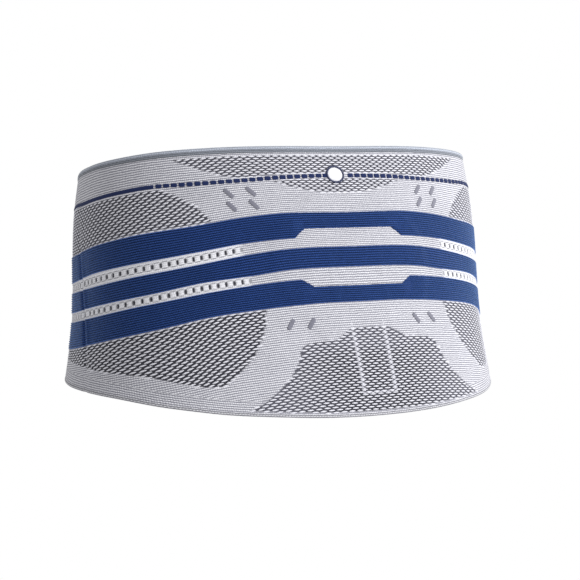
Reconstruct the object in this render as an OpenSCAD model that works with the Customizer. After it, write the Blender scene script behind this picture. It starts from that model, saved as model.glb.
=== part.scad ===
// Lumbar support belt: a knitted back with ribbed tension bands, a massage pad in an
// inner pocket, two spine stays, two wings that open at the side seams, and a hook
// and loop closure at the front with a finger pocket on each end.
// +Z is up, the back faces -Y, and the front closure faces +Y. The origin is the
// middle of the torso opening. Every soft layer is one patch, laid on the torso's
// surface by its arc length from the middle of the back, its height and its depth.

/* [Torso] */
// Half of the belt's width at mid height
half_width = 165; // [140:1:190]
// Depth of the belt behind the origin, at mid height
back_depth = 118; // [100:1:140]
// Squareness of the torso's section: 2 is an ellipse
squareness = 2.3; // [2:0.05:2.6]
// How far the pattern leans along the back for each millimetre of height
lean = 0.145; // [0:0.005:0.2]

/* [Knit] */
// Thickness of the knitted body
knit_thick = 1.8; // [1:0.1:3]
// How far the ribbed bands stand proud
band_thick = 0.5; // [0.3:0.1:0.7]
// Height of the rolled top edge
rim_height = 5; // [3:0.5:8]
// Height of the knitted bottom edge
hem_height = 2.5; // [2:0.5:5]

/* [Massage pad] */
// Thickness of the pad's plate
pad_thick = 3; // [2:0.5:5]
// Height of the pad's nubs
nub_height = 3; // [1:0.5:4]
// Thickness of the inner pocket's fabric
cover_thick = 0.8; // [0.6:0.1:1.2]

/* [Stays] */
// Width of the spine stays
stay_width = 8; // [6:0.5:10]
// Distance of each spine stay from the middle of the back
stay_offset = 21; // [18:1:26]

/* [Closure] */
// Height of the closure panels where they meet the wings
panel_height = 122; // [100:1:130]
// How far the outer panel passes the middle of the front
outer_overlap = 45; // [35:1:55]
// How far the inner panel passes the middle of the front
inner_overlap = 30; // [20:1:40]
// Thickness of the closure panels
panel_thick = 2.2; // [1.5:0.1:3]
// Gape of the finger pockets
pocket_gape = 10; // [8:0.5:12]

/* [Hidden] */

pale = "#c9c9d6";
navy = "#2b4580";
ink = "#1b2a56";
slate = "#8d93ab";
cream = "#e6e6ec";
steel = "#9aa0a8";

// Half width and back depth of the torso at each height, as a share of mid height
WIDTH_AT = [[-105, 1.079], [-80, 1.058], [-55, 1.033], [-25, 1.009], [5, 1], [35, 0.994],
    [60, 0.982], [85, 0.958], [105, 0.935]];
DEPTH_AT = [[-105, 1.05], [-55, 1.034], [-5, 1], [45, 0.966], [92, 0.924], [105, 0.91]];

// Height of each edge by distance along the belt from the middle of the back
TOP = [[0, 104], [100, 104], [140, 102.5], [180, 99.5], [220, 96], [260, 91], [300, 79], [340, 68]];
BOTTOM = [[0, -96], [40, -95], [80, -92], [120, -88], [150, -83], [180, -76.5], [200, -74],
    [240, -71], [290, -65], [340, -58]];
UPPER_TOP = [[50, 54.8], [80, 52.5], [120, 47], [160, 42], [200, 35], [240, 28.3], [290, 25], [340, 24]];
UPPER_LOW = [[37, 43.7], [45, 37.4], [60, 36.5], [80, 34.8], [120, 28.8], [160, 22.5], [200, 15.6],
    [240, 9], [290, 6], [340, 6]];
MIDDLE_TOP = [[0, 29.3], [60, 28], [80, 25.7], [120, 19.2], [160, 12.5], [200, 5], [240, 0],
    [290, -3], [340, -3]];
MIDDLE_LOW = [[0, 15.3], [60, 13.6], [80, 11], [120, 6.5], [160, -1.5], [200, -9], [240, -14.5],
    [290, -17], [340, -17]];
LOWER_TOP = [[37, 1], [45, 6], [60, 5.3], [80, 3.5], [120, -1.8], [160, -9.2], [200, -17.5],
    [240, -22.5], [290, -25], [340, -25]];
LOWER_LOW = [[0, -10.5], [40, -10.8], [80, -13.5], [120, -18.4], [160, -27.5], [200, -36.3],
    [240, -42], [290, -44], [340, -43]];

// The torso's surface ------------------------------------------------------------
section_z = 5;
arc_step = 2;

function section_radius(psi, z) =
    let (a = half_width * lookup(z, WIDTH_AT), b = back_depth * lookup(z, DEPTH_AT))
    pow(pow(abs(sin(psi)) / a, squareness) + pow(abs(cos(psi)) / b, squareness), -1 / squareness);
function section_point(psi, z) =
    let (r = section_radius(psi, z)) [r * sin(psi), -r * cos(psi)];
// Arc length against angle, summed round half the section
ARC = [for (psi = 0, s = 0; psi <= 180;
    s = s + norm(section_point(psi + arc_step, section_z) - section_point(psi, section_z)),
    psi = psi + arc_step) [s, psi]];
side_s = lookup(90, [for (p = ARC) [p[1], p[0]]]);
front_s = ARC[len(ARC) - 1][0];
function angle_at(s) =
    let (t = abs(s), turn = t > front_s ? 360 - lookup(2 * front_s - t, ARC) : lookup(t, ARC))
    sign(s) * turn;

lean_height = 81;
lean_full = 130;
lean_none = side_s - 15;
function ramp(t) = let (u = min(1, max(0, t))) u * u * (3 - 2 * u);
function leaned(s, z) =
    s + lean * (lean_height - z) * (1 - ramp((abs(s) - lean_full) / (lean_none - lean_full)));
// The horizontal direction out of the torso at an angle and height
function outward(psi, z) =
    let (run = section_point(psi + 0.5, z) - section_point(psi - 0.5, z))
    [run[1], -run[0]] / norm(run);
// The point at arc length s, height z and distance d outside the knit's face
function place(s, z, d) =
    let (psi = angle_at(leaned(s, z)), p = section_point(psi, z), out = outward(psi, z))
    [p[0] + d * out[0], p[1] + d * out[1], z];

// A closed patch between two depths. grid is a list of columns, each a list of [s, z]
// from bottom to top; inner and outer give the depth at each [column, row]. A wrapped
// patch joins its last column to its first
module solid_patch(grid, inner, outer, wrap = false) {
    cols = len(grid);
    rows = len(grid[0]);
    count = cols * rows;
    points = [for (side = [0, 1], i = [0:cols - 1], j = [0:rows - 1])
        place(grid[i][j][0], grid[i][j][1], side == 0 ? inner(i, j) : outer(i, j))];
    function at(side, i, j) = side * count + (i % cols) * rows + j;
    function quad(a, b, c, d) = [[a, b, c], [a, c, d]];
    top = rows - 1;
    spans = wrap ? cols - 1 : cols - 2;
    ends = wrap ? [] : [0, cols - 1];
    faces = [
        for (i = [0:spans], j = [0:rows - 2])
            each quad(at(1, i, j), at(1, i, j + 1), at(1, i + 1, j + 1), at(1, i + 1, j)),
        for (i = [0:spans], j = [0:rows - 2])
            each quad(at(0, i, j), at(0, i + 1, j), at(0, i + 1, j + 1), at(0, i, j + 1)),
        for (i = [0:spans])
            each quad(at(0, i, 0), at(1, i, 0), at(1, i + 1, 0), at(0, i + 1, 0)),
        for (i = [0:spans])
            each quad(at(0, i, top), at(0, i + 1, top), at(1, i + 1, top), at(1, i, top)),
        for (i = ends, j = [0:rows - 2])
            each i == 0
                ? quad(at(0, i, j), at(0, i, j + 1), at(1, i, j + 1), at(1, i, j))
                : quad(at(0, i, j), at(1, i, j), at(1, i, j + 1), at(0, i, j + 1))
    ];
    polyhedron(points, faces, convexity = 8);
}

// Patches by kind ----------------------------------------------------------------
side_gap = 0.25;
back_end = side_s - side_gap;
wing_start = side_s + side_gap;
wing_end = 340;
column_step = 11;

function steps(from, to) =
    let (n = ceil((to - from) / column_step)) [for (i = [0:n]) from + i * (to - from) / n];
half_columns = concat([6, 14, 22, 30, 37, 45], steps(52, back_end));
back_columns = concat([for (i = [len(half_columns) - 1:-1:0]) -half_columns[i]], [0], half_columns);
wing_columns = steps(wing_start, wing_end);
function blend(a, b, t) = a + (b - a) * t;

// A band of the belt between two edge tables, each moved by its own inset
module band(cols, low, high, rows, d0, d1, low_up = 0, high_up = 0) {
    grid = [for (s = cols) let (z0 = lookup(abs(s), low) + low_up, z1 = lookup(abs(s), high) + high_up)
        [for (j = [0:rows]) [s, blend(z0, z1, j / rows)]]];
    solid_patch(grid, function(i, j) d0, function(i, j) d1);
}
module on_left() {
    mirror([1, 0, 0]) children();
}
// A plate as wide as a table says at each height
module plate(table, middle, d0, d1, across = 5) {
    grid = [for (i = [-across:across]) [for (p = table) [middle + p[1] * i / across, p[0]]]];
    solid_patch(grid, function(i, j) d0, function(i, j) d1);
}

// Knit, bands, rim and hem -------------------------------------------------------
rim_gap = 0.15;
band_gap = 0.25;
rim_proud = 0.5;
knit_rows = 9;

module knit_shell(cols) {
    color(pale) band(cols, BOTTOM, TOP, knit_rows, -knit_thick, 0,
        hem_height + rim_gap, -rim_height - rim_gap);
}
module blue_band(cols, low, high) {
    color(navy) band(cols, low, high, 1, band_gap, band_gap + band_thick);
}
module top_rim(cols) {
    color(slate) band(cols, TOP, TOP, 1, -knit_thick - rim_proud, rim_proud, -rim_height, 0);
}
module hem(cols) {
    color(slate) band(cols, BOTTOM, BOTTOM, 1, -knit_thick, 0.2, 0, hem_height);
}

module back_knit() { knit_shell(back_columns); }
module back_band_upper() { blue_band(back_columns, UPPER_LOW, UPPER_TOP); }
module back_band_middle() { blue_band(back_columns, MIDDLE_LOW, MIDDLE_TOP); }
module back_band_lower() { blue_band(back_columns, LOWER_LOW, LOWER_TOP); }
module back_top_rim() { top_rim(back_columns); }
module back_hem() { hem(back_columns); }

// Emblem: a plain oval badge -----------------------------------------------------
emblem_s = -2.5;
emblem_z = 83;
emblem_w = 16;
emblem_h = 13;
emblem_edge = 1.4;
emblem_d = [0.2, 0.7];

function oval(w, h, t) = [emblem_s + w / 2 * cos(t), emblem_z + h / 2 * sin(t)];
module emblem_outline() {
    grid = [for (t = [0:15:345])
        [oval(emblem_w, emblem_h, t), oval(emblem_w - 2 * emblem_edge, emblem_h - 2 * emblem_edge, t)]];
    color(ink) solid_patch(grid, function(i, j) emblem_d[0], function(i, j) emblem_d[1], wrap = true);
}
module emblem_face() {
    w = emblem_w - 2 * emblem_edge - 0.2;
    h = emblem_h - 2 * emblem_edge - 0.2;
    table = [for (t = [-80:20:80]) [emblem_z + h / 2 * sin(t), w / 2 * cos(t)]];
    color(cream) plate(table, emblem_s, emblem_d[0], emblem_d[1], across = 3);
}

// Massage pad in its inner pocket ------------------------------------------------
pad_outer = -4.2;
pad_inner = pad_outer - pad_thick;
nub_r = 4;
nub_pitch = 15;
nub_gap = 0.65;
cover_margin = 13;
tape_width = 6;
PAD_HALF = [[-76, 15], [-70, 22], [-50, 29], [-32, 42], [-10, 60], [15, 68], [38, 66], [50, 58], [56, 46]];

module massage_pad() {
    color("#5b74a8") plate(PAD_HALF, 0, pad_inner, pad_outer);
}
module pad_nubs() {
    color("#7d92bd")
        for (row = [-4:3], col = [-4:4])
            let (z = 2 + row * nub_pitch, s = (col + (row % 2 == 0 ? 0 : 0.5)) * nub_pitch)
                if (abs(s) + nub_r + 3 < lookup(z, PAD_HALF))
                    let (out = outward(angle_at(leaned(s, z)), z))
                    translate(place(s, z, pad_inner - nub_gap))
                        rotate([0, 0, atan2(out[0], -out[1])])
                            rotate([-90, 0, 0])
                                cylinder(h = nub_height, r1 = nub_r, r2 = nub_r * 0.45, $fn = 16);
}
// Rings of [s, z] round the pad, at a distance outside its outline
function pad_ring(out) =
    let (n = len(PAD_HALF), low = PAD_HALF[0], high = PAD_HALF[n - 1],
        right = [for (p = PAD_HALF) [p[1] + out, p[0]]],
        stretch = function(p) [p[0], p[1] < -60 ? p[1] - out * (-60 - p[1]) / 16
            : p[1] > 40 ? p[1] + out * (p[1] - 40) / 16 : p[1]])
    concat([for (p = right) stretch(p)], [[0, high[0] + out]],
        [for (i = [n - 1:-1:0]) stretch([-right[i][0], right[i][1]])], [[0, low[0] - out]]);
cover_in = pad_inner - nub_gap - nub_height - 0.4;
module pad_cover() {
    rings = [pad_ring(cover_margin), pad_ring(cover_margin - 5), pad_ring(2), pad_ring(-12),
        [for (p = pad_ring(-12)) [p[0] * 0.12, blend(-8, p[1], 0.1)]]];
    depth = [-2, -2.4, cover_in, cover_in, cover_in];
    grid = [for (i = [0:len(rings[0]) - 1]) [for (r = rings) r[i]]];
    color(cream) {
        solid_patch(grid, function(i, j) depth[j] - cover_thick, function(i, j) depth[j], wrap = true);
        solid_patch([for (i = [-1:1]) [for (z = [-16, -8, 0]) [i * 7, z]]],
            function(i, j) cover_in - cover_thick, function(i, j) cover_in);
    }
}
module pad_cover_tape() {
    outer = pad_ring(cover_margin + tape_width);
    inner = pad_ring(cover_margin + 0.3);
    grid = [for (i = [0:len(outer) - 1]) [outer[i], inner[i]]];
    color(slate) solid_patch(grid, function(i, j) -2.9, function(i, j) -2, wrap = true);
}

// Stays: a steel strip, its tip caps and a sewn channel ----------------------------
stay_out = -2.1;
stay_in = -3.1;
cap_length = 5;
spine_stay_z = [-60, 48];
front_stay_z = [-44, 50];
front_stay_s = 322;

module stay(middle, z) {
    rows = [for (i = [0:6]) [blend(z[0], z[1], i / 6), stay_width / 2]];
    color(steel) plate(rows, middle, stay_in, stay_out, across = 1);
}
module stay_cap(middle, z0, z1) {
    color(ink) plate([[z0, stay_width / 2 + 0.5], [z1, stay_width / 2 + 0.5]], middle,
        stay_in - 0.1, stay_out + 0.05, across = 1);
}
module stay_cap_pair(middle, z) {
    stay_cap(middle, z[0] - cap_length, z[0] - 0.05);
    stay_cap(middle, z[1] + 0.05, z[1] + cap_length);
}
// A fabric tunnel that lies on the knit at its edges and rises over the stay
module stay_channel(middle, z) {
    half = stay_width / 2;
    across = [-half - 4, -half - 1.4, -half - 0.7, half + 0.7, half + 1.4, half + 4];
    depth = [-1.95, -1.95, stay_in - 0.2, stay_in - 0.2, -1.95, -1.95];
    low = z[0] - cap_length - 3;
    high = z[1] + cap_length + 3;
    grid = [for (a = across) [for (j = [0:6]) [middle + a, blend(low, high, j / 6)]]];
    color(cream) solid_patch(grid, function(i, j) depth[i] - 0.6, function(i, j) depth[i]);
}

module left_spine_stay() { stay(-stay_offset, spine_stay_z); }
module right_spine_stay() { stay(stay_offset, spine_stay_z); }
module spine_stay_caps() {
    stay_cap_pair(-stay_offset, spine_stay_z);
    stay_cap_pair(stay_offset, spine_stay_z);
}
module left_spine_channel() { stay_channel(-stay_offset, spine_stay_z); }
module right_spine_channel() { stay_channel(stay_offset, spine_stay_z); }
module care_label() {
    color("white") plate([[-38, 11], [-20, 11], [-2, 11]], 120, -2.5, -2, across = 2);
}

// Closure panels -----------------------------------------------------------------
panel_middle = 4;
panel_taper = 0.07;
panel_corner = 28;
binding_width = 5;
inner_panel_d = [-0.2 - panel_thick, -0.2];
outer_panel_d = [1.2, 1.2 + panel_thick];
seam_start = wing_end + 0.3;
flap_start = 402;
flap_gap = 0.4;

// Half height of a panel at arc length s, with a rounded free end, inset all round
function panel_half(s, end, inset = 0) =
    let (r = panel_corner - inset, t = max(0, s - (end - panel_corner)),
        corner = r - sqrt(max(0, r * r - t * t)))
    panel_height / 2 - inset - panel_taper * (s - wing_end) - corner;
// Half of a panel's outline, from its root to the middle of its free end
function panel_edge(start, end) = concat(
    [for (s = steps(start, end - panel_corner)) [s, panel_half(s, end)]],
    [for (t = [15:15:75]) let (s = end - panel_corner + panel_corner * sin(t)) [s, panel_half(s, end)]],
    [[end, panel_half(end, end)]]);
function panel_outline(start, end) =
    let (e = panel_edge(start, end), n = len(e))
    concat([for (p = e) [p[0], panel_middle + p[1]]],
        [for (i = [n - 1:-1:0]) [e[i][0], panel_middle - e[i][1]]]);
// Depth of the outer panel: level with the knit at its root, then over the inner panel
function lift(s) = ramp((s - 347) / 50);
function outer_depth(s) = [for (k = [0, 1]) blend(-knit_thick * (1 - k), outer_panel_d[k], lift(s))];

function panel_grid(start, end, inset) =
    let (cols = concat(steps(start, end - panel_corner),
            [for (t = [15:15:75]) end - panel_corner + (panel_corner - inset) * sin(t)], [end - inset]))
    [for (s = cols) let (h = panel_half(s, end, inset))
        [for (j = [-4:4]) [s, panel_middle + h * j / 4]]];
// A binding that follows the panel's outline, inset by its own width
function binding_grid(start, end) =
    let (outer = panel_outline(start, end), n = len(outer))
    [for (i = [0:n - 1])
        let (p = outer[i], a = outer[max(0, i - 1)], b = outer[min(n - 1, i + 1)],
            run = (b - a) / norm(b - a), w = binding_width - 0.3)
        [p, [i == 0 || i == n - 1 ? p[0] : p[0] + run[1] * w, p[1] - run[0] * w]]];

inner_end = front_s + inner_overlap;
outer_end = front_s + outer_overlap;
LOOP_HALF = [[-30, 22], [-25, 29], [4, 32], [33, 29], [38, 22]];
HOOK_HALF = [[-26, 15], [-22, 20], [4, 21], [30, 20], [34, 15]];
loop_middle = 448;
hook_middle = 472;

module inner_panel() {
    color(slate) on_left() solid_patch(panel_grid(seam_start, inner_end, binding_width),
        function(i, j) inner_panel_d[0], function(i, j) inner_panel_d[1]);
}
module inner_panel_binding() {
    color(navy) on_left() solid_patch(binding_grid(seam_start, inner_end),
        function(i, j) inner_panel_d[0] - 0.2, function(i, j) 0.05);
}
module loop_field() {
    color("#6f7994") on_left() plate(LOOP_HALF, loop_middle, -0.15, 0.15);
}
module outer_panel_root() {
    cols = steps(seam_start, flap_start - flap_gap);
    grid = [for (s = cols) let (h = panel_half(s, outer_end) - binding_width)
        [for (j = [-4:4]) [s, panel_middle + h * j / 4]]];
    color(slate) solid_patch(grid, function(i, j) outer_depth(cols[i])[0],
        function(i, j) outer_depth(cols[i])[1]);
}
module outer_root_binding() {
    cols = steps(seam_start, flap_start - flap_gap);
    color(navy) for (k = [-1, 1]) {
        grid = [for (s = cols) let (h = panel_half(s, outer_end), w = binding_width - 0.3)
            [for (e = k > 0 ? [h - w, h] : [-h, w - h]) [s, panel_middle + e]]];
        solid_patch(grid, function(i, j) outer_depth(cols[i])[0] - 0.2,
            function(i, j) outer_depth(cols[i])[1] + 0.2);
    }
}
module outer_flap() {
    color(slate) solid_patch(panel_grid(flap_start, outer_end, binding_width),
        function(i, j) outer_panel_d[0], function(i, j) outer_panel_d[1]);
}
module outer_flap_binding() {
    color(navy) solid_patch(binding_grid(flap_start, outer_end),
        function(i, j) outer_panel_d[0] - 0.2, function(i, j) outer_panel_d[1] + 0.2);
}
module hook_patch() {
    color("#3a4358") plate(HOOK_HALF, hook_middle, 0.5, outer_panel_d[0] - 0.05);
}

// Finger pockets: a sleeve that gapes at its mouth and is sewn down round the rest
pocket_half = 27;
pocket_skin = 1.2;
module finger_pocket(mouth, closed, base) {
    rows = 8;
    function gape(i, j) = pocket_gape * sin(180 * j / rows) * (1 - ramp(i / 6));
    grid = [for (i = [0:6]) [for (j = [0:rows])
        [blend(mouth, closed, i / 6), panel_middle + pocket_half * (2 * j / rows - 1) * (1 - 0.02 * i)]]];
    color(navy) solid_patch(grid, function(i, j) base + gape(i, j),
        function(i, j) base + gape(i, j) + pocket_skin);
}
module pocket_hem(mouth, base) {
    rows = 8;
    function gape(j) = pocket_gape * sin(180 * j / rows);
    grid = [for (s = [mouth - 4, mouth - 0.2])
        [for (j = [0:rows]) [s, panel_middle + pocket_half * (2 * j / rows - 1)]]];
    color(ink) solid_patch(grid, function(i, j) base + gape(j), function(i, j) base + gape(j) + 1.8);
}
inner_pocket_s = [350, 408];
outer_pocket_s = [432, 490];
pocket_lift = 0.1;
module inner_finger_pocket() {
    on_left() finger_pocket(inner_pocket_s[0], inner_pocket_s[1], inner_panel_d[1] + pocket_lift);
}
module inner_pocket_hem() {
    on_left() pocket_hem(inner_pocket_s[0], inner_panel_d[1] + pocket_lift);
}
module outer_finger_pocket() {
    finger_pocket(outer_pocket_s[0], outer_pocket_s[1], outer_panel_d[1] + pocket_lift);
}
module outer_pocket_hem() {
    pocket_hem(outer_pocket_s[0], outer_panel_d[1] + pocket_lift);
}

// Wings, made on the right and mirrored for the left -----------------------------
module side_tape() {
    color(slate) band(steps(wing_start + 1, wing_start + 13), BOTTOM, TOP, knit_rows, -2.6, -2,
        hem_height + 2, -rim_height - 2);
}
module panel_seam() {
    color(ink) band([334, 340, 346], BOTTOM, TOP, 4, 0.15, 0.8, hem_height + 3, -rim_height - 3);
}
module left_wing_knit() { on_left() knit_shell(wing_columns); }
module left_band_upper() { on_left() blue_band(steps(wing_start, 333), UPPER_LOW, UPPER_TOP); }
module left_band_middle() { on_left() blue_band(steps(wing_start, 333), MIDDLE_LOW, MIDDLE_TOP); }
module left_band_lower() { on_left() blue_band(steps(wing_start, 333), LOWER_LOW, LOWER_TOP); }
module left_top_rim() { on_left() top_rim(wing_columns); }
module left_hem() { on_left() hem(wing_columns); }
module left_side_tape() { on_left() side_tape(); }
module left_front_stay() { on_left() stay(front_stay_s, front_stay_z); }
module left_stay_caps() { on_left() stay_cap_pair(front_stay_s, front_stay_z); }
module left_front_channel() { on_left() stay_channel(front_stay_s, front_stay_z); }
module left_panel_seam() { on_left() panel_seam(); }
module right_wing_knit() { knit_shell(wing_columns); }
module right_band_upper() { blue_band(steps(wing_start, 333), UPPER_LOW, UPPER_TOP); }
module right_band_middle() { blue_band(steps(wing_start, 333), MIDDLE_LOW, MIDDLE_TOP); }
module right_band_lower() { blue_band(steps(wing_start, 333), LOWER_LOW, LOWER_TOP); }
module right_top_rim() { top_rim(wing_columns); }
module right_hem() { hem(wing_columns); }
module right_side_tape() { side_tape(); }
module right_front_stay() { stay(front_stay_s, front_stay_z); }
module right_stay_caps() { stay_cap_pair(front_stay_s, front_stay_z); }
module right_front_channel() { stay_channel(front_stay_s, front_stay_z); }
module right_panel_seam() { panel_seam(); }

back_knit();
back_band_upper();
back_band_middle();
back_band_lower();
back_top_rim();
back_hem();
emblem_outline();
emblem_face();
massage_pad();
pad_nubs();
pad_cover();
pad_cover_tape();
left_spine_stay();
right_spine_stay();
spine_stay_caps();
left_spine_channel();
right_spine_channel();
care_label();
left_wing_knit();
left_band_upper();
left_band_middle();
left_band_lower();
left_top_rim();
left_hem();
left_side_tape();
left_front_stay();
left_stay_caps();
left_front_channel();
left_panel_seam();
inner_panel();
inner_panel_binding();
loop_field();
inner_finger_pocket();
inner_pocket_hem();
right_wing_knit();
right_band_upper();
right_band_middle();
right_band_lower();
right_top_rim();
right_hem();
right_side_tape();
right_front_stay();
right_stay_caps();
right_front_channel();
right_panel_seam();
outer_panel_root();
outer_root_binding();
outer_flap();
outer_flap_binding();
hook_patch();
outer_finger_pocket();
outer_pocket_hem();
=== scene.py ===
import math

import bpy
import numpy as np
from mathutils import Euler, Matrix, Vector


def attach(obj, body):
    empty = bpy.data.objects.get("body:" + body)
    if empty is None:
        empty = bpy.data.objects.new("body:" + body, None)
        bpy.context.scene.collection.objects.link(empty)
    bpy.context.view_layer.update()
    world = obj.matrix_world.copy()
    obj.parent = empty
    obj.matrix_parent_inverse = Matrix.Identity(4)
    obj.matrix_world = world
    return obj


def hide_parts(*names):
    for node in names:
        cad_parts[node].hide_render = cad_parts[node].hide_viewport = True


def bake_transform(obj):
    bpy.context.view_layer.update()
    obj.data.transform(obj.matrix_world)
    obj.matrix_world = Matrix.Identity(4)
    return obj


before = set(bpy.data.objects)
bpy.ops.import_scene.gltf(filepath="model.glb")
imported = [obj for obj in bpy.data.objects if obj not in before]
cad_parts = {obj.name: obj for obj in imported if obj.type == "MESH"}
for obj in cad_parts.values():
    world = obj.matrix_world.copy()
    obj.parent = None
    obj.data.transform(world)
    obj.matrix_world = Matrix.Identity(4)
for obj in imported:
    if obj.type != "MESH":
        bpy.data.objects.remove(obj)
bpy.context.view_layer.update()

bl_info = {
    "name": "Lumbar Support Belt",
    "version": (1, 0, 0),
    "blender": (4, 5, 0),
    "location": "View3D > Sidebar > Belt",
    "description": "Knits and sews a lumbar support belt round its packed frame",
    "category": "Add Mesh",
}

MM = 0.001

# The torso's section and the belt's drawn edges, in millimetres -------------------
WIDTH_AT = ((-105, 1.079), (-80, 1.058), (-55, 1.033), (-25, 1.009), (5, 1), (35, 0.994),
            (60, 0.982), (85, 0.958), (105, 0.935))
DEPTH_AT = ((-105, 1.05), (-55, 1.034), (-5, 1), (45, 0.966), (92, 0.924), (105, 0.91))
TOP = ((0, 104), (100, 104), (140, 102.5), (180, 99.5), (220, 96), (260, 91), (300, 79), (340, 68))
BOTTOM = ((0, -96), (40, -95), (80, -92), (120, -88), (150, -83), (180, -76.5), (200, -74),
          (240, -71), (290, -65), (340, -58))
UPPER_TOP = ((0, 54.8), (50, 54.8), (80, 52.5), (120, 47), (160, 42), (200, 35), (240, 28.3),
             (290, 25), (340, 24))
UPPER_LOW = ((0, 37.6), (60, 36.5), (80, 34.8), (120, 28.8), (160, 22.5), (200, 15.6), (240, 9),
             (290, 6), (340, 6))
MIDDLE_TOP = ((0, 29.3), (60, 28), (80, 25.7), (120, 19.2), (160, 12.5), (200, 5), (240, 0),
              (290, -3), (340, -3))
MIDDLE_LOW = ((0, 15.3), (60, 13.6), (80, 11), (120, 6.5), (160, -1.5), (200, -9), (240, -14.5),
              (290, -17), (340, -17))
LOWER_TOP = ((0, 6.3), (60, 5.3), (80, 3.5), (120, -1.8), (160, -9.2), (200, -17.5), (240, -22.5),
             (290, -25), (340, -25))
LOWER_LOW = ((0, -10.5), (40, -10.8), (80, -13.5), (120, -18.4), (160, -27.5), (200, -36.3),
             (240, -42), (290, -44), (340, -43))
LINE_MIDDLE = ((0, 82.2), (40, 81.6), (80, 79.6), (120, 77.8), (150, 76.8), (180, 73.5),
               (220, 68.5), (260, 64.5), (300, 58.5), (340, 52))

# Outlines of the open stitch zones, by distance from the middle of the back and height
UPPER_ZONE = ((-30, 112), (-30, 69.5), (0, 69.5), (20, 70), (35, 72.5), (50, 76.5), (64, 80), (78, 80),
              (94, 83), (110, 87.5), (126, 93), (139, 98.2), (143, 112))
LOWER_ZONE = ((-30, -112), (-30, -29.5), (0, -29.5), (16, -30), (24, -34), (30, -38), (52, -39.5),
              (58, -43), (61, -52), (68, -64), (77, -73), (88, -81), (100, -86.5), (112, -88), (116, -112))
UPPER_SIDE_ZONE = ((105, 30), (105, 49), (110, 55), (117, 62), (125, 67), (135, 72), (147, 75.2),
                   (180, 71.8), (220, 66.6), (260, 62.4), (288, 57), (304, 48), (306, 20))
LOWER_SIDE_ZONE = ((76, 0), (76, -14), (78, -25), (82, -35), (90, -48), (100, -57.5), (113, -68.5),
                   (125, -69), (140, -66.5), (160, -61), (200, -57), (240, -53.5), (290, -49),
                   (304, -40), (306, -10))

# Half width of the gel pad by height, and the pressed edge of its pocket's tail
PAD_HALF = ((-76, 15), (-70, 22), (-50, 29), (-32, 42), (-10, 60), (15, 68), (38, 66), (50, 58), (56, 46))
TAIL_HALF = 13
TAIL_TOP, TAIL_FOOT = -32, -78.5

PARTS = ("back", "left", "right")
WINGS = {"left": -1, "right": 1}
SIDE_PSI = 90                       # where the side seams run, in degrees from the middle of the back
WING_END = 340                      # arc length at which the knit ends and the closure panels begin
BEND_LENGTH = 0.034                 # length in metres of a wing's hinge axis beside its seam
KNIT_THICK = 1.8
RIM_HEIGHT = 5
HEM_HEIGHT = 2.5
HEM_BORDER = 8.5                    # the courses run with the hem up to here, and with the bands above
LINING_COURSE = 1.65                # course height of the linings and of the closure's cloth
LEAN_HEIGHT = 81                    # height at which the leaning pattern is in its own place
LEAN_FULL, LEAN_SPARE = 130, 15     # the lean is full up to here, and gone this far before the side
STITCH_TILT = 9                     # how much more the open stitches slope at the sides, in degrees
NOTCH = (37, 45)                    # foot and head of the slopes where the outer bands are cut narrower
NOTCH_UP, NOTCH_DOWN = 6.1, 5.2     # depth of the cut in the upper and in the lower band
STAY_OFFSET = 21
SPINE_STAY = (-60, 48)              # heights of a spine stay's ends
FRONT_STAY_AT = 322
FRONT_STAY = (-44, 50)


class BeltShape(bpy.types.PropertyGroup):
    half_width: bpy.props.FloatProperty(
        name="Half width", description="Half of the belt's width at mid height, in mm", default=165)
    back_depth: bpy.props.FloatProperty(
        name="Back depth", description="Depth of the belt behind its middle, in mm", default=118)
    squareness: bpy.props.FloatProperty(
        name="Squareness", description="Exponent of the torso's section; 2 is an ellipse", default=2.3)
    lean: bpy.props.FloatProperty(
        name="Lean", description="Sideways lean of the pattern for each mm of height", default=0.145)


class BeltKnit(bpy.types.PropertyGroup):
    row_pitch: bpy.props.FloatProperty(
        name="Course pitch", description="Height of one course of the knit, in mm", default=1.65)
    course_relief: bpy.props.FloatProperty(
        name="Course relief", description="Height of a course's ridge, in mm", default=0.1)
    rib_relief: bpy.props.FloatProperty(
        name="Rib relief", description="Height of the blue bands' ribs, in mm", default=0.34)
    stitch_pitch: bpy.props.FloatVectorProperty(
        name="Stitch pitch", description="Open stitches along a course and from course to course, in mm",
        size=2, default=(6.3, 1.88))
    stitch_size: bpy.props.FloatVectorProperty(
        name="Stitch size", description="Length, height and thickness of an open stitch, in mm",
        size=3, default=(5.6, 1.26, 0.8))
    eyelet_pitch: bpy.props.FloatProperty(
        name="Eyelet pitch", description="Distance between the eyelets of the pale strips, in mm",
        default=6)


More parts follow.
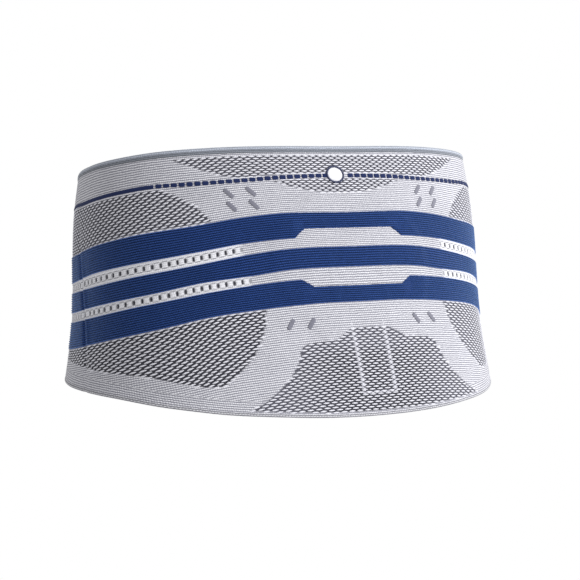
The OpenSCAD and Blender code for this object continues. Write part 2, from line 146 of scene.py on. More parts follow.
class BeltColours(bpy.types.PropertyGroup):
    pale: bpy.props.FloatVectorProperty(
        name="Pale knit", description="Colour of the pale knit", subtype="COLOR",
        default=(0.86, 0.86, 0.90))
    course: bpy.props.FloatVectorProperty(
        name="Course line", description="Colour between the courses of the pale knit",
        subtype="COLOR", default=(0.19, 0.19, 0.235))
    ground: bpy.props.FloatVectorProperty(
        name="Open ground", description="Colour of the sheer ground in the open stitch zones",
        subtype="COLOR", default=(0.030, 0.030, 0.042))
    yarn: bpy.props.FloatVectorProperty(
        name="Stitch yarn", description="Colour of the open stitches", subtype="COLOR",
        default=(0.70, 0.70, 0.76))
    # Band crest is the bands' own navy; band groove is painted shade, near black where the ribs dip
    navy: bpy.props.FloatVectorProperty(
        name="Band crest", description="Colour of the blue bands' ribs", subtype="COLOR",
        default=(0.023, 0.060, 0.25))
    ink: bpy.props.FloatVectorProperty(
        name="Band groove", description="Colour between the blue bands' ribs", subtype="COLOR",
        default=(0.002, 0.006, 0.032))
    line: bpy.props.FloatVectorProperty(
        name="Thin line", description="Colour of the thin line and its dashes", subtype="COLOR",
        default=(0.009, 0.019, 0.080))
    rim: bpy.props.FloatVectorProperty(
        name="Rolled rim", description="Colour of the rolled top edge", subtype="COLOR",
        default=(0.50, 0.54, 0.63))
    panel: bpy.props.FloatVectorProperty(
        name="Closure panel", description="Colour of the closure panels", subtype="COLOR",
        default=(0.060, 0.075, 0.135))


def shape():
    return bpy.context.scene.belt_shape


def knit():
    return bpy.context.scene.belt_knit


def colours():
    return bpy.context.scene.belt_colours


# The torso's surface ---------------------------------------------------------------
def curve(x, table):
    """The value at x of a smooth curve through a table's points."""
    px, py = np.array(table, float).T
    slope = np.gradient(py, px)
    if px[0] == 0:
        slope[0] = 0
    x = np.clip(np.asarray(x, float), px[0], px[-1])
    i = np.clip(np.searchsorted(px, x, side="right") - 1, 0, len(px) - 2)
    h = px[i + 1] - px[i]
    t = (x - px[i]) / h
    near = (1 + 2 * t) * (1 - t) ** 2 * py[i] + t * (1 - t) ** 2 * h * slope[i]
    far = t * t * (3 - 2 * t) * py[i + 1] - t * t * (1 - t) * h * slope[i + 1]
    return near + far


def edge(s, table):
    """Height of a drawn edge, the same on both sides of the middle."""
    return curve(np.abs(s), table)


def ramp(t):
    """0 below 0 and 1 above 1, with a smooth rise between."""
    t = np.clip(t, 0, 1)
    return t * t * (3 - 2 * t)


def bell(x, middle, width):
    """1 at the middle and nearly 0 from two widths away."""
    return np.exp(-((x - middle) / width) ** 2)


def section(psi, z):
    """The torso's outline at angles psi, in degrees, and heights z."""
    a = shape().half_width * curve(z, WIDTH_AT)
    b = shape().back_depth * curve(z, DEPTH_AT)
    n = shape().squareness
    c, s = np.cos(np.radians(psi)), np.sin(np.radians(psi))
    r = (np.abs(s / a) ** n + np.abs(c / b) ** n) ** (-1 / n)
    return r * s, -r * c


def arc_table():
    """Arc length from the middle of the back against angle, round half the section."""
    psi = np.arange(0, 181, 2.0)
    x, y = section(psi, np.full(len(psi), 5.0))
    return np.concatenate([[0], np.cumsum(np.hypot(np.diff(x), np.diff(y)))]), psi


def side_and_front():
    """Arc lengths of the side seam and of the middle of the front."""
    arc, psi = arc_table()
    return float(np.interp(SIDE_PSI, psi, arc)), float(arc[-1])


def place(s, z, d):
    """Points in metres at arc length s, height z and distance d outside the knit, in mm."""
    s, z, d = np.broadcast_arrays(*(np.asarray(v, float) for v in (s, z, d)))
    arc, turn = arc_table()
    side, front = side_and_front()
    full = 1 - ramp((np.abs(s) - LEAN_FULL) / (side - LEAN_SPARE - LEAN_FULL))
    t = s + shape().lean * (LEAN_HEIGHT - z) * full
    far = np.abs(t) > front
    psi = np.interp(np.where(far, 2 * front - np.abs(t), np.abs(t)), arc, turn)
    psi = np.sign(t) * np.where(far, 360 - psi, psi)
    x, y = section(psi, z)
    (x1, y1), (x0, y0) = section(psi + 0.5, z), section(psi - 0.5, z)
    length = np.hypot(x1 - x0, y1 - y0)
    return np.stack([x + d * (y1 - y0) / length, y - d * (x1 - x0) / length, z], -1) * MM


def pad_half(z):
    return np.interp(z, *np.array(PAD_HALF, float).T)


def tail_edge(s, z):
    """The narrow pressed edge of the pad's pocket, low on the spine."""
    a = np.abs(s)
    sides = bell(a, TAIL_HALF, 1.5) * ramp((z - TAIL_FOOT) / 2) * ramp((TAIL_TOP - z) / 10)
    foot = bell(z, TAIL_FOOT, 1.3) * ramp((TAIL_HALF + 2.5 - a) / 2)
    return np.maximum(sides, foot)


FOLD_LEFT, FOLD_RIGHT = -222, 226   # arc lengths of the fold by each side seam
FOLD_SLANT = 0.22
FOLD_DEPTH, FOLD_RIDGE = 2.7, 1.1
FOLD_MIDDLE, FOLD_REACH = -18, 46   # height of the fold's middle, and how far it runs up and down
PAD_SHOW, STAY_SHOW, TAIL_SHOW = 0.6, 0.22, 0.35


def drape(s, z):
    """How far the worn fabric stands off the torso, in mm: waves, folds and what lies under it."""
    waves = 0.35 * np.sin(s / 31 + z / 47) + 0.25 * np.sin(s / 17 - z / 29 + 1)
    left = s < 0
    fold_at = np.where(left, FOLD_LEFT - FOLD_SLANT * (z + 10), FOLD_RIGHT)
    across = (s - fold_at) / np.where(left, 2.5, 5)
    fold = -FOLD_DEPTH * bell(across, 0, 1) + FOLD_RIDGE * bell(across, 2.2, 1)
    fold = fold * bell(z, FOLD_MIDDLE, FOLD_REACH) * np.where(left, 1, 0.35)
    stays = STAY_SHOW * (bell(s, STAY_OFFSET, 2.5) + bell(s, -STAY_OFFSET, 2.5))
    stays = stays * ramp((z + 66) / 8) * ramp((56 - z) / 8)
    pad = PAD_SHOW * ramp((pad_half(z) + 3 - np.abs(s)) / 9) * ramp((z + 80) / 6) * ramp((58 - z) / 8)
    return (waves + fold + stays + pad + TAIL_SHOW * tail_edge(s, z)) * ramp((330 - np.abs(s)) / 60)


def skin(s, z, d):
    """Points in metres on the worn fabric, at a distance d outside it, in mm."""
    return place(s, z, d + drape(np.asarray(s, float), np.asarray(z, float)))


# Mesh tools ------------------------------------------------------------------------
def deselect():
    bpy.ops.object.select_all(action="DESELECT")


def only(obj):
    deselect()
    obj.select_set(True)
    bpy.context.view_layer.objects.active = obj


def points(obj):
    co = np.zeros(len(obj.data.vertices) * 3)
    obj.data.vertices.foreach_get("co", co)
    return co.reshape(-1, 3)


def move_points(obj, co):
    obj.data.vertices.foreach_set("co", np.ascontiguousarray(co, np.float32).ravel())
    obj.data.update()


def set_uv(obj, u, v):
    """Gives every corner its point's place in the knit, in units of 100 mm and 100 courses."""
    corner = np.zeros(len(obj.data.loops), np.int32)
    obj.data.loops.foreach_get("vertex_index", corner)
    layer = obj.data.uv_layers.active or obj.data.uv_layers.new(name="UVMap")
    layer.data.foreach_set("uv", np.stack([u[corner], v[corner]], -1).astype(np.float32).ravel() / 100)


def paint(obj, name, values):
    """Paints a value on every point of a piece, for its finish to read."""
    layer = obj.data.attributes.new(name, "FLOAT", "POINT")
    layer.data.foreach_set("value", np.asarray(values, np.float32))


def grid(name, cols, rows):
    """A flat grid, one unit square, with u and v of every point."""
    deselect()
    bpy.ops.mesh.primitive_grid_add(x_subdivisions=cols, y_subdivisions=rows, size=1)
    obj = bpy.context.object
    obj.name = name
    obj.data.name = name
    co = points(obj)
    return obj, co[:, 0] + 0.5, co[:, 1] + 0.5


def modify(obj, kind, **values):
    only(obj)
    modifier = obj.modifiers.new(kind.title(), kind)
    for key, value in values.items():
        setattr(modifier, key, value)
    bpy.ops.object.modifier_apply(modifier=modifier.name)


def smooth(obj, degrees=60):
    only(obj)
    bpy.ops.object.shade_smooth_by_angle(angle=math.radians(degrees))


def edit(obj, *steps):
    """Runs edit mode operators on the whole of a piece."""
    only(obj)
    bpy.ops.object.mode_set(mode="EDIT")
    bpy.ops.mesh.select_all(action="SELECT")
    for operator, values in steps:
        operator(**values)
    bpy.ops.object.mode_set(mode="OBJECT")


def close_tube(obj):
    """Joins the two long edges of a rolled grid and caps its ends."""
    edit(obj, (bpy.ops.mesh.remove_doubles, {"threshold": 0.000002}),
         (bpy.ops.mesh.fill_holes, {"sides": 0}),
         (bpy.ops.mesh.normals_make_consistent, {"inside": False}))


def finish_piece(obj, finish, slot, body=None, hinge=None, stands_for=()):
    """Gives a piece its finish and hides the parts it stands for. Without a hinge it is attached to its body;
    with a hinge, (body, start, end), its transform is only baked, and it is neither attached nor bent. slot
    is not used.
    """
    obj.data.materials.clear()
    obj.data.materials.append(material_of(finish))
    if hinge:
        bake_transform(obj)
    else:
        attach(obj, body)
    if stands_for:
        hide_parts(*stands_for)
    return obj


# Where each stretch of the belt runs, and the hinge given to each wing at its side seam
def stretch(part):
    """First and last arc length of the back or of one wing, in mm, low to high."""
    side, _ = side_and_front()
    if part == "back":
        return -side, side
    return (side, WING_END) if part == "right" else (-WING_END, -side)


def follow(part):
    """Body arguments of a piece that is knitted as a stretch of the belt."""
    if part == "back":
        return {"body": "back"}
    x = WINGS[part] * shape().half_width * MM
    return {"body": "back", "hinge": (part + "_wing", (x, 0, 0), (x, BEND_LENGTH, 0))}


# Materials: grain scales are in waves per metre -------------------------------------
FIBRE_GRAIN = 900
UNEVEN_GRAIN = 260
TONE_GRAIN, PATCH_GRAIN = 40, 35
FLOAT_PITCH = 6.4                   # length of the stitches' floats on the inner face, in mm


def add(tree, kind, values=None, **props):
    """A node with some of its properties set and its inputs set or linked."""
    made = tree.nodes.new("ShaderNode" + kind)
    for key, value in props.items():
        setattr(made, key, value)
    for key, value in (values or {}).items():
        if isinstance(value, bpy.types.NodeSocket):
            tree.links.new(value, made.inputs[key])
        else:
            made.inputs[key].default_value = value
    return made


def maths(tree, operation, a, b=0.0, clamp=False):
    return add(tree, "Math", {0: a, 1: b}, operation=operation, use_clamp=clamp).outputs[0]


def scaled(tree, value, times, plus=0.0):
    """value * times + plus."""
    return add(tree, "Math", {0: value, 1: times, 2: plus}, operation="MULTIPLY_ADD").outputs[0]


def mixed(tree, share, a, b):
    """Colour a to colour b by share."""
    return add(tree, "Mix", {0: share, 6: a, 7: b}, data_type="RGBA").outputs[2]


def painted(tree, name):
    """The share from 0 to 1 that was painted on the piece's points."""
    return add(tree, "Attribute", attribute_name=name).outputs["Fac"]


def rgba(colour, times=1.0):
    return (*(min(1.0, c * times) for c in colour), 1.0)


def fresh(name, **sockets):
    """A new material with a Principled shader whose plain sockets are set directly."""
    material = bpy.data.materials.new(name)
    material.use_nodes = True
    shader = material.node_tree.nodes["Principled BSDF"]
    for key, value in sockets.items():
        shader.inputs[key.replace("_", " ")].default_value = value
    return material, material.node_tree, shader


def courses(tree):
    """Arc length in mm and course number of the knit, from the piece's own UV map."""
    uv = add(tree, "UVMap", uv_map="UVMap").outputs[0]
    parts = add(tree, "SeparateXYZ", {0: uv}).outputs
    return maths(tree, "MULTIPLY", parts[0], 100), maths(tree, "MULTIPLY", parts[1], 100)


def wave(tree, value, pitch, shift=0.0):
    """A wave from 0 to 1 that repeats each pitch."""
    swing = maths(tree, "SINE", scaled(tree, value, 2 * math.pi / pitch, shift))
    return scaled(tree, swing, 0.5, 0.5)


def grain(tree, scale, detail=3.0):
    """A still noise from 0 to 1 that is fixed to the piece."""
    where = add(tree, "TexCoord").outputs["Object"]
    return add(tree, "TexNoise", {"Vector": where, "Scale": scale, "Detail": detail}).outputs[0]


def bump(tree, shader, height, strength, distance):
    """Raises the finish by height, over a distance in metres."""
    made = add(tree, "Bump", {"Height": height, "Strength": strength, "Distance": distance})
    tree.links.new(made.outputs[0], shader.inputs["Normal"])


def open_ground(tree, tone, crest, groove, along, course):
    """The knit's tone, darkened where it is painted as open, and plain beside the eyelets."""
    tone = mixed(tree, painted(tree, "plump"), tone, rgba(crest))
    inside = maths(tree, "MULTIPLY", painted(tree, "zone"), 1.6, clamp=True)
    threads = maths(tree, "MULTIPLY", wave(tree, along, 1.6), wave(tree, course, 0.5))
    mesh = mixed(tree, threads, rgba(colours().ground), rgba(groove, 0.35))
    row = maths(tree, "MULTIPLY", course, knit().row_pitch / knit().stitch_pitch[1])
    step = maths(tree, "MULTIPLY", maths(tree, "FLOOR", row), FLOAT_PITCH / 2)
    floats = maths(tree, "MULTIPLY", wave(tree, maths(tree, "ADD", along, step), FLOAT_PITCH),
                   wave(tree, row, 1.0, -math.pi / 2))
    floats = maths(tree, "MULTIPLY", floats, painted(tree, "lining_side"))
    mesh = mixed(tree, maths(tree, "MULTIPLY", floats, 1.4, clamp=True), mesh, rgba(colours().yarn, 0.5))
    # deep is the painted darkness of the open ground; on the right side it is lowered as painted light
    ground = mixed(tree, painted(tree, "deep"), rgba(groove), mesh)
    tone = mixed(tree, inside, tone, ground)
    hole = maths(tree, "MULTIPLY", painted(tree, "eyelet"), 1.0, clamp=True)
    return mixed(tree, hole, tone, rgba(colours().ground, 1.2))


def knit_material(name, crest, groove, loop=2.3, sheen=0.3, relief=0.5, open_zone=False, gloss=0.2,
                  fuzz=(1, 1, 1), roughness=0.82, stagger=0.5):
    """Ribbed knit: courses from the UV map, loops along them, and a soft fuzz of fibres."""
    material, tree, shader = fresh(
        name, Roughness=roughness, Sheen_Weight=sheen, Sheen_Roughness=0.45, Sheen_Tint=(*fuzz, 1),
        Specular_IOR_Level=gloss, Specular_Tint=(*fuzz, 1))
    along, course = courses(tree)
    drift = maths(tree, "MULTIPLY", maths(tree, "SUBTRACT", grain(tree, UNEVEN_GRAIN, 2.0), 0.5), 0.55)
    course = maths(tree, "ADD", course, drift)
    ridge = wave(tree, course, 1.0, math.pi / 2)
    half = maths(tree, "MULTIPLY", maths(tree, "FLOOR", maths(tree, "ADD", course, 0.5)), loop * stagger)
    loops = wave(tree, maths(tree, "ADD", along, half), loop)
    fibres = grain(tree, FIBRE_GRAIN)
    patches = grain(tree, PATCH_GRAIN, 2.0)
    share = maths(tree, "MULTIPLY", ridge, scaled(tree, loops, 0.45, 0.55))
    share = maths(tree, "ADD", share, maths(tree, "MULTIPLY", maths(tree, "SUBTRACT", fibres, 0.5), 0.5),
                  clamp=True)
    # the groove colour lies where the courses and loops dip; in the blue bands and pockets it is painted
    # shade
    colour = mixed(tree, share, rgba(groove), rgba(crest))
    shade = scaled(tree, patches, 0.2, 0.90)
    tone = add(tree, "HueSaturation", {"Color": colour, "Value": shade}).outputs[0]
    if open_zone:
        tone = open_ground(tree, tone, crest, groove, along, course)
    tree.links.new(tone, shader.inputs["Base Color"])
    height = maths(tree, "ADD", maths(tree, "MULTIPLY", ridge, 0.6), maths(tree, "MULTIPLY", loops, 0.3))
    height = maths(tree, "ADD", height, maths(tree, "MULTIPLY", fibres, 0.35))
    bump(tree, shader, height, relief, 0.0004)
    return material


def cloth_material(name, colour, weave=900, sheen=0.4, roughness=0.85, contrast=0.35, relief=0.35):
    """Close fabric with a fine grain of threads and a slow change of tone."""
    material, tree, shader = fresh(
        name, Roughness=roughness, Sheen_Weight=sheen, Sheen_Roughness=0.5, Specular_IOR_Level=0.25)
    threads = grain(tree, weave, 2.0)
    slow = grain(tree, TONE_GRAIN, 2.0)
    share = maths(tree, "ADD", maths(tree, "MULTIPLY", threads, 0.7), maths(tree, "MULTIPLY", slow, 0.3))
    tone = mixed(tree, share, rgba(colour, 1 - contrast), rgba(colour, 1 + contrast))
    tree.links.new(tone, shader.inputs["Base Color"])
    bump(tree, shader, threads, relief, 0.0005)
    return material


def moulded_material(name, colour, roughness=0.45, grain_scale=420, relief=0.12, metallic=0.0):
    """Moulded rubber or plastic, or brushed steel, with a slight skin texture."""
    material, tree, shader = fresh(name, Metallic=metallic, Specular_IOR_Level=0.45)
    skin_grain = grain(tree, grain_scale, 4.0)
    tone = mixed(tree, skin_grain, rgba(colour, 0.86), rgba(colour, 1.14))
    tree.links.new(tone, shader.inputs["Base Color"])
    tree.links.new(scaled(tree, skin_grain, 0.2, roughness - 0.1), shader.inputs["Roughness"])
    bump(tree, shader, skin_grain, relief, 0.0003)
    return material


MATERIALS = {}                      # filled when the first piece is finished


def make_materials():
    """One finish for each cloth, yarn and moulding of the belt."""
    c = colours()
    MATERIALS.update({
        "pale": knit_material("pale_knit", c.pale, c.course, loop=1.5, open_zone=True, stagger=0.12),
        # painted shade: near black between the ribs of the blue bands
        "navy": knit_material("navy_rib", c.navy, c.ink, loop=1.7, sheen=0.5, relief=0.6, gloss=0.3,
                              fuzz=(0.24, 0.48, 1), roughness=0.5),
        "rim": knit_material("rim_knit", c.rim, rgba(c.rim, 0.45)[:3], loop=2.0),
        # painted shade: the band under the rolled rim is the rim's colour darkened, for the shade under the
        # roll
        "rib": knit_material("rim_shade_band", rgba(c.rim, 0.55)[:3], rgba(c.rim, 0.22)[:3], loop=1.6),
        "hem": knit_material("hem_knit", rgba(c.pale, 0.8)[:3], rgba(c.course, 0.6)[:3], loop=2.0),
        "yarn": cloth_material("stitch_yarn", c.yarn, weave=1500, sheen=0.3, contrast=0.18),
        "line": cloth_material("line_yarn", c.line, weave=1300, sheen=0.05, contrast=0.4),
        "tuck": cloth_material("tuck_yarn", rgba(c.course, 0.95)[:3], weave=1300, contrast=0.3),
        "white": moulded_material("emblem_white", (0.72, 0.72, 0.76), roughness=0.5),
        "print": moulded_material("emblem_ink", (0.012, 0.02, 0.07), roughness=0.5),
        "panel": cloth_material("panel_pile", c.panel, weave=1400, sheen=0.3, contrast=0.5, relief=0.8),
        "binding": cloth_material("binding_tape", rgba(c.line, 1.5)[:3], weave=1100, contrast=0.35),
        "thread": cloth_material("sewing_thread", (0.34, 0.38, 0.48), weave=2200, contrast=0.3),
        "loop": cloth_material("loop_pile", rgba(c.panel, 0.7)[:3], weave=1800, sheen=0.9, contrast=0.6,
                               relief=1.0),
        "hook": moulded_material("hook_tape", (0.022, 0.026, 0.04), roughness=0.4, relief=0.25),
        # painted shade: near black between the pocket's ribs
        "pocket": knit_material("pocket_fabric", c.navy, c.ink, loop=1.7, sheen=0.3),
        "lining": cloth_material("lining_knit", (0.50, 0.51, 0.58), weave=1200, contrast=0.25),
        "tape": cloth_material("lining_tape", (0.11, 0.14, 0.23), weave=1200, contrast=0.35),
        "label": cloth_material("label_satin", (0.78, 0.78, 0.80), weave=1600, sheen=0.2, contrast=0.08,
                                roughness=0.5),
        "gel": moulded_material("pad_gel", (0.03, 0.07, 0.22), roughness=0.55),
        "nub": moulded_material("nub_gel", (0.08, 0.15, 0.34), roughness=0.4),
        "steel": moulded_material("stay_steel", (0.55, 0.56, 0.58), roughness=0.35, grain_scale=1400,
                                  metallic=1.0),
        "cap": moulded_material("cap_plastic", (0.02, 0.03, 0.06), roughness=0.55),
    })


def material_of(finish):
    """The material of a finish; all are made with the first piece."""
    if not MATERIALS:
        make_materials()
    return MATERIALS[finish]


# Knitted stretches -------------------------------------------------------------------
def low_edge(s):
    return edge(s, BOTTOM) + HEM_HEIGHT


def high_edge(s):
    return edge(s, TOP) - RIM_HEIGHT


def notch(s):
    """1 in the middle of the back, where the outer bands are cut narrower, and 0 past its slopes."""
    return np.clip((NOTCH[1] - np.abs(s)) / (NOTCH[1] - NOTCH[0]), 0, 1)


BAND_EDGES = {"upper": (UPPER_LOW, UPPER_TOP), "middle": (MIDDLE_LOW, MIDDLE_TOP),
              "lower": (LOWER_LOW, LOWER_TOP)}
BANDS = {
    "upper": (lambda s: edge(s, UPPER_LOW) + NOTCH_UP * notch(s), lambda s: edge(s, UPPER_TOP)),
    "middle": (lambda s: edge(s, MIDDLE_LOW), lambda s: edge(s, MIDDLE_TOP)),
    "lower": (lambda s: edge(s, LOWER_LOW), lambda s: edge(s, LOWER_TOP) - NOTCH_DOWN * notch(s)),
}


def outline_distance(s, z, outline):
    """Distance inside an outline, in mm, negative outside it."""
    corners = np.array(outline, float)
    best = np.full(np.shape(s), 1e9)
    inside = np.zeros(np.shape(s), bool)
    for (s0, z0), (s1, z1) in zip(corners, np.roll(corners, -1, 0)):
        run, rise = s1 - s0, z1 - z0
        t = np.clip(((s - s0) * run + (z - z0) * rise) / (run * run + rise * rise), 0, 1)
        best = np.minimum(best, np.hypot(s - s0 - run * t, z - z0 - rise * t))
        crosses = (z0 > z) != (z1 > z)
        if rise:
            inside ^= crosses & (s < s0 + run * (z - z0) / rise)
    return np.where(inside, best, -best)


def zones(s, z):
    """Distance inside the nearest open stitch zone, in mm, and how dark its ground is.

    The zones stop short of the thin line, the bands, the rim and the hem. The lower middle one is
    darkest round the spine, and the ground of those on the right side is painted lighter: painted light,
    where the light falls on that side of the belt."""
    a = np.abs(s)
    upper = outline_distance(a, z, UPPER_ZONE)
    shoulder = a + np.where(s < 0, 3, 0) * ramp((z + 78) / 30) * ramp(a / 25)
    lower = np.minimum(outline_distance(shoulder, z, LOWER_ZONE), z - low_edge(s) - 1.0)
    line = edge(s, LINE_MIDDLE)
    upper_side = np.minimum(np.minimum(outline_distance(a, z, UPPER_SIDE_ZONE), line - 2.6 - z),
                            z - BANDS["upper"][1](s) - 1)
    lower_side = np.minimum(outline_distance(a, z, LOWER_SIDE_ZONE), BANDS["lower"][0](s) - 1 - z)
    upper = np.minimum(np.minimum(upper, np.abs(z - line) - 1.9), high_edge(s) - z - 1.7)
    parts = np.stack([upper, lower, upper_side, lower_side])
    which = parts.argmax(0)
    centre = np.exp(-(a / 52) ** 4) * ramp((-z - 38) / 16)
    # painted light: the open ground of the right side (s > 0) is painted lighter, where the light falls on
    # that side
    painted_light_right = np.where(s > 0, 0.6, 1)
    deep = np.choose(which, [0.72, 0.62 + 0.38 * centre, 0.85 * painted_light_right, painted_light_right])
    return parts.max(0), deep * (1 - 0.75 * tail_edge(s, z))


def mean_courses(low, high, pitch):
    """How many courses of a pitch fit between two edges, averaged along the belt."""
    s = np.linspace(0, 260, 14)
    return max(2, round(float(np.mean(high(s) - low(s))) / pitch))


def lower_course(s, z):
    """Course number below the bands: courses run with the band, and with the hem in its border."""
    band = edge(s, LOWER_LOW) - z
    border = z - low_edge(s)
    return np.where(border < HEM_BORDER, border, -band) / knit().row_pitch


def course_between(low, high):
    """Course numbers that run with two edges, whatever is cut out of the cloth beside them."""
    count = mean_courses(lambda s: edge(s, low), lambda s: edge(s, high), knit().row_pitch)
    return lambda s, z: count * (z - edge(s, low)) / (edge(s, high) - edge(s, low))


def columns(part, pitch):
    """Start and end of a stretch, and how many columns of a pitch it takes."""
    start, end = stretch(part)
    return start, end, max(4, round((end - start) / pitch))


# Cells of the knit's grid: across its loops, and four or six to a course
PLAIN_CELL, EYELET_CELL, RIB_CELL = (2.2, 0.4125), (0.8, 0.4125), (1.6, 0.275)
EYELET_HALF = (1.0, 1.75)
GROOVE_AT = 2.35                    # from an eyelet's middle to the grooves over and under it
HOLE_DEPTH, GROOVE_DEPTH, RAIL_HEIGHT = 1.0, 0.35, 0.22
EYELET_FROM, EYELET_TO = 84, 331    # arc lengths between which the pale strips have eyelets


def eyelet_ladder(s, up, shift):
    """Holes, the grooves over and under them, and where a strip has them, at height up in mm."""
    pitch = knit().eyelet_pitch
    across = (np.mod(s + shift, pitch) - pitch / 2) / EYELET_HALF[0]
    reach = ramp((np.abs(s) - EYELET_FROM + shift) / 6) * ramp((EYELET_TO - np.abs(s)) / 5)
    from_middle = (np.abs(across) ** 3 + np.abs(up / EYELET_HALF[1]) ** 3) ** (1 / 3)
    hole = ramp(1.8 - 1.25 * from_middle) * reach
    groove = bell(np.abs(up), GROOVE_AT, 0.3) * reach * ramp((np.abs(across) - 0.7) / 0.6)
    return hole, groove, reach


def knit_strip(name, part, low, high, finish, stands_for, course_at, cell=PLAIN_CELL, proud=0.0,
               eyelets=None):
    """A closed strip of knit between two edges, with its courses in relief."""
    start, end, cols = columns(part, cell[0])
    tallest = float(np.max(high(np.linspace(start, end, 9)) - low(np.linspace(start, end, 9))))
    obj, u, v = grid(name, cols, max(3, round(tallest / cell[1])))
    s = start + (end - start) * u
    bottom, top = low(s), high(s)
    z = bottom + (top - bottom) * v
    course = course_at(s, z)
    relief = knit().course_relief if finish == "pale" else knit().rib_relief
    rise = relief * np.cos(2 * math.pi * course)
    if finish == "pale":
        inside, deep = zones(s, z)
        soft = ramp((inside - 0.1) / 1.1)
        rise = rise * (1 - 0.4 * soft) - 0.45 * soft
        paint(obj, "zone", soft)
        # deep carries the painted light that makes the right side's open ground lighter
        paint(obj, "deep", deep)
        hole, reach = 0 * s, 0 * s
        if eyelets is not None:
            hole, groove, reach = eyelet_ladder(s, (v - 0.5) * (top - bottom), eyelets)
            rail = bell(np.abs(v - 0.5), 0.4, 0.08)
            rise = rise - HOLE_DEPTH * hole - GROOVE_DEPTH * groove + RAIL_HEIGHT * rail
            hole = hole + 0.75 * groove
        paint(obj, "eyelet", hole)
        paint(obj, "plump", reach * 0.75)
    move_points(obj, skin(s, z, proud + rise))
    set_uv(obj, s, course)
    modify(obj, "SOLIDIFY", thickness=(KNIT_THICK + proud) * MM, offset=-1)
    paint(obj, "lining_side", np.arange(len(obj.data.vertices)) >= len(s))
    smooth(obj)
    slot = "pale_knit" if finish == "pale" else "navy_rib"
    return finish_piece(obj, finish, slot, stands_for=(stands_for,), **follow(part))


def part_name(part, name):
    return f"{part}_{name}"


def plain_course(s, z):
    """Course number above the bands: the courses fill the height evenly."""
    low, high = BANDS["upper"][1](s), high_edge(s)
    return (z - low) / (high - low) * mean_courses(BANDS["upper"][1], high_edge, knit().row_pitch)


def make_knit(part):
    """The pale knit of a stretch: above, between and below the blue bands."""
    node = "back_knit" if part == "back" else part + "_wing_knit"
    knit_strip(part_name(part, "knit_upper"), part, BANDS["upper"][1], high_edge, "pale", node, plain_course)
    knit_strip(part_name(part, "knit_lower"), part, low_edge, BANDS["lower"][0], "pale", node, lower_course)
    knit_strip(part_name(part, "strip_upper"), part, BANDS["middle"][1], BANDS["upper"][0], "pale", node,
               course_between(MIDDLE_TOP, UPPER_LOW), EYELET_CELL, eyelets=0.0)
    knit_strip(part_name(part, "strip_lower"), part, BANDS["lower"][1], BANDS["middle"][0], "pale", node,
               course_between(LOWER_TOP, MIDDLE_LOW), EYELET_CELL, eyelets=3.0)


def make_bands(part):
    """The three blue bands of a stretch, with proud ribs."""
    for name, (low, high) in BANDS.items():
        knit_strip(part_name(part, "band_" + name + "_ribs"), part, low, high, "navy", f"{part}_band_{name}",
                   course_between(*BAND_EDGES[name]), RIB_CELL, proud=0.5)


TUBE_PITCH, TUBE_SIDES = 1.2, 16
TUBE_SQUARENESS = 2.6
WHIP_PITCH = 1.9                    # distance between the turns of thread over a rolled edge


def tube_strip(name, part, low, high, inner, outer, finish, slot, node, ripple):
    """A rolled edge: a rounded section drawn along a stretch between two edges."""
    start, end, cols = columns(part, TUBE_PITCH)
    obj, u, v = grid(name, cols, TUBE_SIDES)
    s = start + (end - start) * u
    turn = 2 * math.pi * v
    c, w = np.cos(turn), np.sin(turn)
    c, w = (np.sign(x) * np.abs(x) ** (2 / TUBE_SQUARENESS) for x in (c, w))
    bottom, top = low(s), high(s)
    twist = ripple * np.sin(2 * math.pi * (s / WHIP_PITCH + v * 2))
    z = (bottom + top) / 2 + (top - bottom) / 2 * w
    d = (inner + outer) / 2 - (outer - inner) / 2 * c + twist * (np.abs(c) > 0.05)
    move_points(obj, skin(s, z, d))
    set_uv(obj, s, v * 6)
    close_tube(obj)
    smooth(obj)
    return finish_piece(obj, finish, slot, stands_for=(node,), **follow(part))


def make_edges(part):
    """The rolled rim with a darker band under it, painted as the shade under the roll, and the hem."""
    tube_strip(part_name(part, "rim_roll"), part, lambda s: edge(s, TOP) - 3, lambda s: edge(s, TOP),
               -2.3, 0.6, "rim", "rim_knit", part + "_top_rim", 0.06)
    # the darker band under the roll is painted shade
    tube_strip(part_name(part, "rim_shade_band"), part, high_edge, lambda s: edge(s, TOP) - 2.8,
               -1.9, 0.15, "rib", "rim_knit", part + "_top_rim", 0.05)
    tube_strip(part_name(part, "hem_roll"), part, lambda s: edge(s, BOTTOM), low_edge,
               -1.9, 0.25, "hem", "hem_knit", part + "_hem", 0.05)


# Stitches, dashes and tucks, modelled once and set out in rows -------------------------
def lens(segments=8, rings=5):
    """Points and faces of one rounded lens, one unit long, high and thick."""
    deselect()
    bpy.ops.mesh.primitive_uv_sphere_add(segments=segments, ring_count=rings, radius=0.5)
    obj = bpy.context.object
    co = points(obj)
    faces = [tuple(p.vertices) for p in obj.data.polygons]
    bpy.data.objects.remove(obj)
    return co, faces


def set_out(name, template, where, size, tilt, form, finish, slot, body_args, lay=None):
    """Copies a template to each (s, z, d), turned by tilt, in degrees, as one piece."""
    co, faces = template
    where = np.array(where, float)
    turn = np.radians(np.broadcast_to(tilt, len(where)))[:, None]
    along, up, out = form(co * np.array(size)[[0, 1, 2]])
    s = where[:, :1] + along * np.cos(turn) - up * np.sin(turn)
    z = where[:, 1:2] + along * np.sin(turn) + up * np.cos(turn)
    d = where[:, 2:3] + out
    flat = (lay or skin)(s.ravel(), z.ravel(), d.ravel())
    count = len(co)
    index = [tuple(i + k * count for i in face) for k in range(len(where)) for face in faces]
    mesh = bpy.data.meshes.new(name)
    mesh.from_pydata(flat.tolist(), [], index)
    obj = bpy.data.objects.new(name, mesh)
    bpy.context.scene.collection.objects.link(obj)
    edit(obj, (bpy.ops.mesh.normals_make_consistent, {"inside": False}))
    smooth(obj, 80)
    return finish_piece(obj, finish, slot, **body_args)


